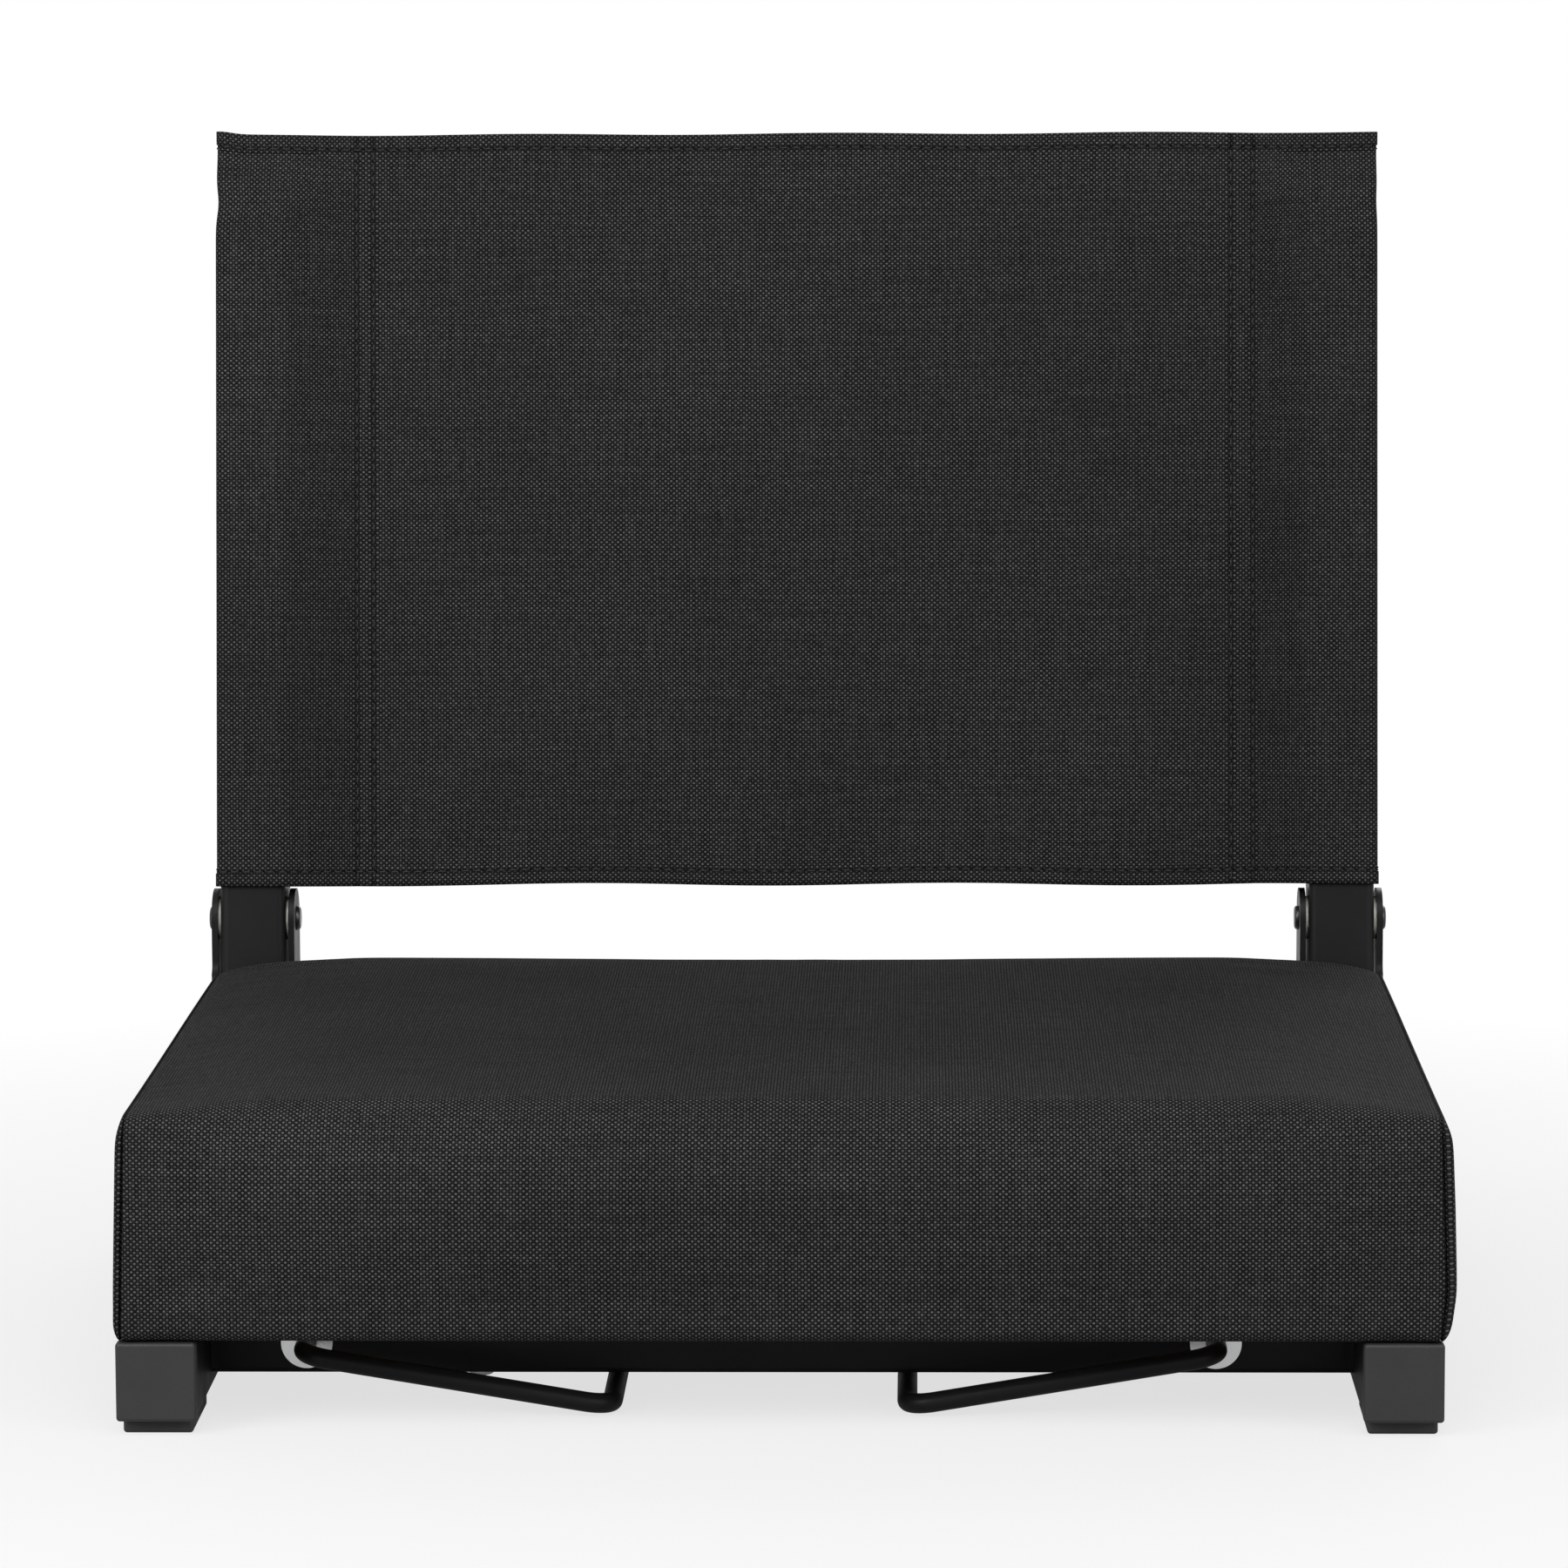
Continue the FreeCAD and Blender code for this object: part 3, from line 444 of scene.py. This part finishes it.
section_corners = (
    (seat_front, seat_bottom), (seat_front + cover_lean, seat_edge_top),
    (seat_rear - cover_lean, seat_edge_top), (seat_rear, seat_bottom),
)
middle_radii = (0.003, 0.017, 0.010, 0.003)
seam_radii = (0.003, 0.006, 0.008, 0.003)
middle_section, seat_lengths = even_steps(
    rounded_path(section_corners, middle_radii, corner_steps, side_steps, True), loop_count,
)
seam_section = even_steps(
    rounded_path(section_corners, seam_radii, corner_steps, side_steps, True), loop_count,
)[0]
close_to_seam = np.array([0.026, 0.019, 0.0135, 0.009, 0.0058, 0.0032, 0.0014, 0.0])
wrap_shares = np.concatenate([np.linspace(0, 0.965, 40), 1 - close_to_seam])
wrap_shares = np.concatenate([-wrap_shares[:0:-1], wrap_shares])
ring_scales = np.array([0.98, 0.95, 0.92, 0.88, 0.82, 0.74, 0.63, 0.5, 0.36, 0.22, 0.1])


def seat_surface(shares):
    """The wrapping panel: the seat's section carried from seam to seam.

    Shares run from -1 at the left seam to 1 at the right one. The section's edges are soft in the middle
    and crisp at the seams. The seams lean in towards the top and turn in at the foot, the depth is drawn
    in round the plan's corners, and the top swells: its crown rises smoothly behind the front edge, stays
    level towards the rear, and falls off steeply at the sides. Folds fan out of the lower front corners.
    """
    share = shares[:, None]
    crisp = np.abs(share) ** 10
    y = middle_section[:, 0] * (1 - crisp) + seam_section[:, 0] * crisp
    z = middle_section[:, 1] * (1 - crisp) + seam_section[:, 1] * crisp
    rise = np.clip((z - seat_bottom) / (seat_edge_top - seat_bottom), 0, 1)
    side = np.sign(share)
    half = np.where(
        side < 0,
        seam_bottom[-1] + (seam_top[-1] - seam_bottom[-1]) * rise,
        seam_bottom[1] + (seam_top[1] - seam_bottom[1]) * rise,
    )
    half = half - foot_inset * (1 - smooth_step(rise, 0.0, 0.25)) * (side > 0)
    x = share * half
    from_side = half * (1 - np.abs(share))

    def drawn_in(radius):
        reach = np.clip(radius - from_side, 0, radius)
        return radius - np.sqrt(radius ** 2 - reach ** 2)

    front_inset = drawn_in(front_corner)
    rear_inset = drawn_in(rear_corner)
    along = (y - seat_front) / seat_depth
    y = seat_front + front_inset + along * (seat_depth - front_inset - rear_inset)
    from_corner = np.hypot(from_side, z - seat_bottom)
    fan = np.sin(9 * np.arctan2(z - seat_bottom, from_side + 0.001) + 0.6)
    fold = fan * np.exp(-from_corner / fold_reach) * smooth_step(from_corner, 0.001, 0.012)
    y = y + fold_depth * fold * (1 - smooth_step(along, 0.02, 0.05))
    swell = smooth_step(along, -0.35, 0.55) * (1 - smooth_step(along, 0.955, 1.0))
    swell = swell * (1 - np.abs(share) ** 20)
    lift = rear_lift * smooth_step(along, 0.1, 0.9) + seat_crown * swell
    z = z + lift * smooth_step(rise, 0.9, 1.0)
    under = smooth_step(half - np.abs(x), turn_in, turn_in + turn_in_step)
    under = under * smooth_step(y - seat_front, turn_in, turn_in + turn_in_step)
    under = under * smooth_step(seat_rear - y, turn_in, turn_in + turn_in_step)
    z = np.where(rise < 0.001, z + (board_top - seat_bottom) * under, z)
    return np.stack([x, y, z], 2)


def gusset_surface(seam, side):
    """A side gusset: the groove of its seam, a lip that swells out of the groove, and rings to its centre.

    The lip leaves the seam by set steps inwards and outwards, full up the corners and slight along the top
    and bottom; the rings shrink towards the middle of the seam's loop while they reach the full bulge.
    """
    run = np.roll(seam, -1, 0) - np.roll(seam, 1, 0)
    inward = np.stack([np.zeros(loop_count), -run[:, 2], run[:, 1]], 1)
    inward *= np.sign(((seam.mean(0) - seam) * inward).sum(1, keepdims=True))
    inward /= np.linalg.norm(inward, axis=1, keepdims=True)
    full = 0.3 + 0.7 * (1 - np.abs(inward[:, 2:]))
    outward = np.array([side * gusset_bulge[side], 0.0, 0.0])
    groove = seam + inward * seam_dip * full
    lips = seam + full * (inward * lip_inward[:, None, None] + outward * lip_outward[:, None, None])
    centre = seam.mean(0)
    scales = ring_scales[:, None, None]
    rings = centre + (lips[-1] - outward * full - centre) * scales
    rings = rings + outward * (1 - (1 - full) * scales ** 8)
    return groove, np.concatenate([lips, rings])


def loop_faces(rows, count):
    """Quads between neighbouring closed loops, as row and column numbers of their corners."""
    row, column = np.meshgrid(np.arange(rows - 1), np.arange(count), indexing="ij")
    rows_of = np.stack([row, row + 1, row + 1, row], -1).reshape(-1, 4)
    columns_of = np.stack([column, column, column + 1, column + 1], -1).reshape(-1, 4)
    return rows_of, columns_of


def new_piece(name, points, faces, finish):
    """Make a smooth-shaded mesh object at the origin."""
    mesh = bpy.data.meshes.new(name)
    mesh.from_pydata(np.asarray(points).tolist(), [], faces)
    mesh.materials.append(finish)
    mesh.shade_smooth()
    piece = bpy.data.objects.new(name, mesh)
    scene.collection.objects.link(piece)
    return piece


wrap = seat_surface(wrap_shares)
wrap[0], left_rings = gusset_surface(wrap[0], -1)
wrap[-1], right_rings = gusset_surface(wrap[-1], 1)
seat_loops = np.concatenate([left_rings[::-1], wrap, right_rings])
loop_total = len(seat_loops)
seat_points = seat_loops.reshape(-1, 3)
quad_rows, quad_columns = loop_faces(loop_total, loop_count)
seat_quads = quad_rows * loop_count + quad_columns % loop_count
around = np.arange(loop_count)
near = np.arange(loop_count // 2 - 1)
far = loop_count - 1 - near
left_fill = np.stack([near, near + 1, far - 1, far], 1)
right_fill = left_fill[:, ::-1] + (loop_total - 1) * loop_count
cushion_quads = np.concatenate([seat_quads, left_fill, right_fill])
cushion = new_piece("seat_cushion", seat_points, cushion_quads.tolist(), black_weave)


puff_frames = 16
puff_most = 0.0022
puff_free_from = 0.0135


def puff_up(piece, held, most):
    """Blow the cover up as cloth under pressure for a few frames, with the held points pinned.

    The simulated shift of each point is shortened to the given most, then written to the mesh.
    """
    group = piece.vertex_groups.new(name="held")
    group.add(held.tolist(), 1.0, "REPLACE")
    cloth = piece.modifiers.new("cloth", "CLOTH")
    settings = cloth.settings
    settings.quality = 5
    settings.mass = 0.25
    settings.tension_stiffness = 18
    settings.compression_stiffness = 18
    settings.shear_stiffness = 8
    settings.bending_stiffness = 2.0
    settings.use_pressure = True
    settings.uniform_pressure_force = 3.0
    settings.vertex_group_mass = "held"
    settings.effector_weights.gravity = 0.0
    cloth.point_cache.frame_start = 1
    cloth.point_cache.frame_end = puff_frames
    for step in range(1, puff_frames + 1):
        scene.frame_set(step)
    shaped = piece.evaluated_get(bpy.context.evaluated_depsgraph_get()).to_mesh()
    size = len(piece.data.vertices)
    before = np.empty(size * 3)
    after = np.empty(size * 3)
    piece.data.vertices.foreach_get("co", before)
    shaped.vertices.foreach_get("co", after)
    shift = (after - before).reshape(-1, 3)
    length = np.linalg.norm(shift, axis=1, keepdims=True)
    shift *= np.minimum(1, most / np.maximum(length, 1e-9))
    piece.modifiers.remove(cloth)
    piece.vertex_groups.remove(group)
    piece.data.vertices.foreach_set("co", (before.reshape(-1, 3) + shift).ravel())
    piece.data.update()
    scene.frame_set(1)


lip_count = len(lip_inward)
seam_rows = (len(left_rings), len(left_rings) + len(wrap_shares) - 1)
sewn_rows = np.concatenate([np.arange(row - lip_count, row + lip_count + 1) for row in seam_rows])
seam_points = (sewn_rows[:, None] * loop_count + around).ravel()
low_points = np.nonzero(seat_points[:, 2] < seat_bottom + puff_free_from)[0]
puff_up(cushion, np.union1d(seam_points, low_points), puff_most)

# Map of the cover in metres: across the seat and along the wrap, out of the seam and along it on the
# lips, or flat on each gusset.
seat_now = np.empty(len(seat_points) * 3)
cushion.data.vertices.foreach_get("co", seat_now)
seat_now = seat_now.reshape(-1, 3)
past_seam = np.maximum(seam_rows[0] - quad_rows.min(1), quad_rows.max(1) - seam_rows[1])
row_gaps = np.linalg.norm(np.diff(seat_loops, axis=0), axis=2).mean(1)
row_places = np.concatenate([[0], np.cumsum(row_gaps)])
wrap_map = np.stack([seat_now[seat_quads][:, :, 0], seat_lengths[quad_columns]], -1)
lip_map = np.stack([row_places[quad_rows], seat_lengths[quad_columns]], -1)
gusset_map = seat_now[seat_quads][:, :, 1:]
seat_map = np.where((past_seam > 0)[:, None, None], lip_map, wrap_map)
seat_map = np.where((past_seam > lip_count)[:, None, None], gusset_map, seat_map)
fill_map = seat_now[np.concatenate([left_fill, right_fill])][:, :, 1:]
cushion_layer = cushion.data.uv_layers.new(name="weave")
cushion_layer.data.foreach_set("uv", np.concatenate([seat_map.ravel(), fill_map.ravel()]))
cushion_finer = cushion.modifiers.new("finer", "SUBSURF")
cushion_finer.levels = 1
cushion_finer.render_levels = 1
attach(cushion, "seat_frame")
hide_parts("seat_cover", "seat_foam")

# Seat seams: the thread of the two gusset seams, lying deep in the groove between panel and gusset.
# It runs up the front corner, back along the top edge and down the rear corner.
stitch_length = 0.0044
stitch_gap = stitch_length * 0.12
thread = 0.00036
seam_lift = 0.0003
seam_start = 0.003
seam_sideways = 0.04


def stitch_mesh(starts, ends, outward):
    """One bulged thread link from each start to its end, lying on the cloth.

    A link is a sausage: rings of a circle carried along the link, their radius a half sine to a
    small power, so that both tips dive into the cloth.
    """
    rings = 5
    sides = 6
    along = np.linspace(0, 1, rings)[None, :, None, None]
    turn = np.linspace(0, 2 * np.pi, sides, endpoint=False)[None, None, :, None]
    run = (ends - starts)[:, None, None, :]
    out = outward[:, None, None, :]
    across = np.cross(run, out)
    across = across / np.linalg.norm(across, axis=-1, keepdims=True)
    radius = thread * (0.15 + 0.85 * np.sin(np.pi * along) ** 0.6)
    points = starts[:, None, None, :] + run * along
    points = points + radius * (np.cos(turn) * across + np.sin(turn) * out)
    row, column = np.meshgrid(np.arange(rings - 1), np.arange(sides), indexing="ij")
    beside = (column + 1) % sides
    link = np.stack([row * sides + column, row * sides + beside,
                     (row + 1) * sides + beside, (row + 1) * sides + column], -1).reshape(-1, 4)
    first = np.arange(len(starts))[:, None, None] * rings * sides
    return points.reshape(-1, 3), (link[None] + first).reshape(-1, 4)


def stitch_row(path, outward):
    """Cut a path into stitches of even length with a short gap between; gives their ends and facings."""
    lengths = np.concatenate([[0], np.cumsum(np.linalg.norm(np.diff(path, axis=0), axis=1))])
    count = int(lengths[-1] / stitch_length)
    marks = np.linspace(0, lengths[-1], count + 1)

    def read(values, places):
        return np.stack([np.interp(places, lengths, values[:, axis]) for axis in range(3)], 1)

    starts = read(path, marks[:-1] + stitch_gap)
    ends = read(path, marks[1:] - stitch_gap)
    return starts, ends, read(outward, (marks[:-1] + marks[1:]) / 2)


thread_black, thread_shader = new_finish(
    "black_thread", (0.014, 0.014, 0.0145), 0.6, Specular_IOR_Level=0.2,
)
thread_tree = thread_black.node_tree
thread_twist = grain(thread_tree, 2600.0, 1.0)
thread_colour = blend_colours(thread_tree, thread_twist, (0.007, 0.007, 0.0072), (0.026, 0.026, 0.0265))
thread_tree.links.new(thread_colour, thread_shader.inputs["Base Color"])
raise_surface(thread_tree, thread_shader, thread_twist, 0.0001, 0.4)


def shown_points(piece):
    """Where a piece's own points lie once its modifiers have shaped it."""
    shaped = piece.evaluated_get(bpy.context.evaluated_depsgraph_get()).to_mesh()
    points = np.empty(len(shaped.vertices) * 3)
    shaped.vertices.foreach_get("co", points)
    return points.reshape(-1, 3)[:len(piece.data.vertices)]


def sew(name, rows, body):
    """Make one stitching piece of many rows of stitches, riding a body."""
    starts, ends, outward = (np.concatenate(part) for part in zip(*rows))
    points, faces = stitch_mesh(starts, ends, outward)
    piece = new_piece(name, points, faces.tolist(), thread_black)
    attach(piece, body)
    return piece


cushion_shown = shown_points(cushion)
seam_threads = []
for row, side in zip(seam_rows, (-1, 1)):
    seam = cushion_shown[row * loop_count:(row + 1) * loop_count]
    first = seam[:, 2].argmin()
    seam = np.roll(seam, -first, 0)
    seam = seam[seam[:, 2] > seat_bottom + seam_start]
    outward = seam - seam.mean(0)
    outward[:, 0] = side * seam_sideways
    outward /= np.linalg.norm(outward, axis=1, keepdims=True)
    seam_threads.append(stitch_row(seam + outward * seam_lift, outward))
seat_seams = sew("seat_seams", seam_threads, "seat_frame")
for piece in (cushion, seat_seams):
    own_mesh(piece)

# Back sleeve: one length of the same cloth stretched between the posts. Each end goes round its post
# and back to a double row of stitching; the top is flattened and sewn shut, both hems are turned.
pivot = next(joint for joint in frame["joints"] if joint["name"] == "back_fold")["pos_m"]
back_lean = math.radians(7.0)
sleeve_bottom = 0.0124
sleeve_top = 0.291
sleeve_height = sleeve_top - sleeve_bottom
post_half = 0.0123
post_inner = 0.1894
sleeve_outer = 0.2143
cloth_thickness = 0.0010
hem_thickness = 0.0018
hem_width = 0.0066
lap = 0.0013
full_depth = post_half + cloth_thickness / 2
flat_depth = 0.0009
pocket_edge = 0.001
groove_depth = 0.0008
groove_half_width = 0.0009
slack_depth = 0.0005
flatten_from = 0.905
flatten_to = 0.985
pinch_height = 0.907
pinch_depth = {-1: 0.0010, 1: 0.0004}
crease_height = 0.93
crease_depth = {-1: 0.0007, 1: 0.0003}
front_limit = 0.0006
stitch_inner = {-1: 0.1571, 1: 0.1612}
stitch_outer = {-1: 0.1633, 1: 0.1693}
close_reach = 0.003
close_count = 13
close_steps = [
    side * np.linspace(stitch_inner[side] - close_reach, stitch_inner[side] + close_reach, close_count)
    for side in (-1, 1)
]
panel_width = stitch_outer[-1] + stitch_outer[1]
panel_shares = (np.concatenate(close_steps) + stitch_outer[-1]) / panel_width
panel_shares = np.unique(np.concatenate([np.linspace(0, 1, 72), panel_shares]))
hem_share = hem_width / sleeve_height
hem_rows = hem_share + np.linspace(-0.0105, 0.006, 12)
row_shares = np.unique(np.concatenate([np.linspace(0, 1, 120), hem_rows, 1 - hem_rows]))
hem_stitch_share = hem_rows[4]
hem_pinch_share = 0.002


def stand_up(x, depth, height):
    """Carry points of the back, given across, behind and up its plane, into the leaning back's place."""
    y = pivot[1] + depth * math.cos(back_lean) + height * math.sin(back_lean)
    z = pivot[2] - depth * math.sin(back_lean) + height * math.cos(back_lean)
    return np.stack([x, y, z], -1)


def sleeve_section():
    """The sleeve's path seen from above: rear lap, left post, panel, right post and the other rear lap."""
    left_pocket = -stitch_outer[-1] - pocket_edge
    right_pocket = stitch_outer[1] + pocket_edge
    corners = [
        (-stitch_inner[-1], lap), (left_pocket, lap), (-post_inner, full_depth),
        (-sleeve_outer, full_depth), (-sleeve_outer, -full_depth), (-post_inner, -full_depth),
        (left_pocket, 0.0), (right_pocket, 0.0), (post_inner, -full_depth),
        (sleeve_outer, -full_depth), (sleeve_outer, full_depth), (post_inner, full_depth),
        (right_pocket, lap), (stitch_inner[1], lap),
    ]
    seam = 0.006
    slope = 0.010
    edge = 0.0032
    radii = [0, seam, slope, edge, edge, slope, seam, seam, slope, edge, edge, slope, seam, 0]
    arc_steps = 9
    line_steps = 10
    path = rounded_path(corners, radii, arc_steps, line_steps, False)
    panel_first = 6 * (arc_steps + line_steps)
    panel_last = panel_first + line_steps + 1
    panel = path[panel_first] + (path[panel_last] - path[panel_first]) * panel_shares[:, None]
    return np.concatenate([path[:panel_first], panel, path[panel_last + 1:]])


sleeve_path = sleeve_section()
path_steps = np.linalg.norm(np.diff(sleeve_path, axis=0), axis=1)
sleeve_lengths = np.concatenate([[0], np.cumsum(path_steps)])


def sleeve_surface(full):
    """The full section carried up the back, flattening above the posts to the sewn top.

    The full section and the same section pressed flat are mixed by a smooth fall from the post tops to the
    top hem; the sides pinch in where the posts end, the corners stand up a little, slow waves keep it limp,
    and each row of stitches lies in a groove.
    """
    pressed = full[:, 1] * flat_depth / full_depth
    sewn = lap + (full[:, 1] - lap) * (flat_depth - lap) / (full_depth - lap)
    on_lap = (np.abs(full[:, 0]) < post_inner) & (full[:, 1] > lap * 0.9)
    flat = np.stack([full[:, 0], np.where(on_lap, sewn, pressed)], 1)
    height = row_shares[:, None]
    thickness = 1 - smooth_step(height, flatten_from, flatten_to)
    section = flat[None] + (full - flat)[None] * thickness[:, :, None]
    x = section[:, :, 0]
    depth = section[:, :, 1]
    near_side = smooth_step(np.abs(x), 0.17, sleeve_outer)
    pinch = np.where(x < 0, pinch_depth[-1], pinch_depth[1])
    pinch = pinch * np.exp(-((height - pinch_height) / 0.022) ** 2)
    pinch = pinch - 0.0003 * smooth_step(height, 0.94, 1.0)
    x = x - np.sign(x) * pinch * near_side
    top_wave = 0.0011 * np.exp(-((x + sleeve_outer) / 0.006) ** 2) + 0.0003 * np.sin(x * 55 + 0.8)
    bottom_wave = 0.0005 * np.sin(x * 47 + 2.0) + 0.0009 * smooth_step(-x, 0.12, 0.215)
    up = sleeve_bottom + sleeve_height * height
    up = up + top_wave * smooth_step(height, 0.9, 1.0) - bottom_wave * (1 - smooth_step(height, 0.0, 0.12))
    panel = 1 - smooth_step(np.abs(x), 0.145, 0.165)
    slack = np.sin(x * 21 + height * 4.4) * np.sin(height * 8.3 + x * 6.0 + 0.7)
    depth = depth + slack_depth * slack * panel
    creases = np.sin(x * 120 + height * 38) * np.exp(-((height - crease_height) / 0.035) ** 2)
    depth = depth + np.where(x < 0, crease_depth[-1], crease_depth[1]) * creases * near_side
    facing_front = depth < front_limit
    dip = groove_depth * (0.4 + 0.6 * thickness) * facing_front
    for side in (-1, 1):
        for place in (stitch_inner[side], stitch_outer[side]):
            depth = depth + dip * np.exp(-((x * side - place) / groove_half_width) ** 2)
    return stand_up(x, depth, up)


sleeve_grid = sleeve_surface(sleeve_path)
sleeve_rows, sleeve_columns = sleeve_grid.shape[:2]
row_heights = row_shares * sleeve_height
on_front = sleeve_path[:, 1] < lap / 2
# Places of the back's rows of stitches, where the cloth's colour is darkened by painted shade.
stitch_shade_columns = [
    float(np.interp(side * rows[side], sleeve_path[on_front, 0], sleeve_lengths[on_front]))
    for rows in (stitch_inner, stitch_outer) for side in (-1, 1)
]
hem_stitch_shares = (hem_stitch_share, 1 - hem_stitch_share)
stitch_shade_hems = [share * sleeve_height for share in hem_stitch_shares]
sleeve_weave = woven_cloth("sleeve_weave", stitch_shade_columns, stitch_shade_hems)
row, column = np.meshgrid(np.arange(sleeve_rows - 1), np.arange(sleeve_columns - 1), indexing="ij")
corner_rows = np.stack([row, row, row + 1, row + 1], -1).reshape(-1, 4)
corner_columns = np.stack([column, column + 1, column + 1, column], -1).reshape(-1, 4)
sleeve_quads = corner_rows * sleeve_columns + corner_columns
sleeve = new_piece("back_sleeve_cloth", sleeve_grid.reshape(-1, 3), sleeve_quads.tolist(), sleeve_weave)
sleeve_map = np.stack([sleeve_lengths[corner_columns], row_heights[corner_rows]], -1)
sleeve_layer = sleeve.data.uv_layers.new(name="weave")
sleeve_layer.data.foreach_set("uv", sleeve_map.ravel())
hems = sleeve.vertex_groups.new(name="hems")
from_edge = np.minimum(row_shares, 1 - row_shares)
pinched = np.abs(from_edge - hem_stitch_share) < hem_pinch_share
hem_points = np.repeat((from_edge < hem_share) & ~pinched, sleeve_columns)
hems.add(np.nonzero(hem_points)[0].tolist(), 1.0, "REPLACE")
sleeve_body = sleeve.modifiers.new("cloth_thickness", "SOLIDIFY")
sleeve_body.thickness = hem_thickness
sleeve_body.offset = 0.0
sleeve_body.vertex_group = hems.name
sleeve_body.thickness_vertex_group = cloth_thickness / hem_thickness
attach(sleeve, "back")
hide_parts("back_sleeve")

# Back stitching: black bonded thread in lockstitch, a double row down each pocket and one row along
# each hem, on both faces of the cloth.
sleeve_normal = np.array([0.0, -math.cos(back_lean), math.sin(back_lean)])
row_points = 60
row_inset = 0.001
pocket_lift = {1: 0.0001, -1: 0.0020}
hem_lift = cloth_thickness / 2 + 0.0001
stitch_parts = []
for face, lift in pocket_lift.items():
    for side in (-1, 1):
        for place in (stitch_inner[side], stitch_outer[side]):
            up = np.linspace(sleeve_bottom + row_inset, sleeve_top - row_inset, row_points)
            path = stand_up(np.full(row_points, side * place), np.full(row_points, -face * lift), up)
            stitch_parts.append(stitch_row(path, np.tile(sleeve_normal * face, (row_points, 1))))
across_slope, up_slope = (np.gradient(sleeve_grid, axis=axis) for axis in (1, 0))
sleeve_out = np.cross(across_slope, up_slope)
sleeve_out /= np.linalg.norm(sleeve_out, axis=-1, keepdims=True)
for share in hem_stitch_shares:
    hem_row = np.abs(row_shares - share).argmin()
    for face in (1, -1):
        path = sleeve_grid[hem_row] + face * hem_lift * sleeve_out[hem_row]
        stitch_parts.append(stitch_row(path, face * sleeve_out[hem_row]))
back_stitching = sew("back_stitching", stitch_parts, "back")
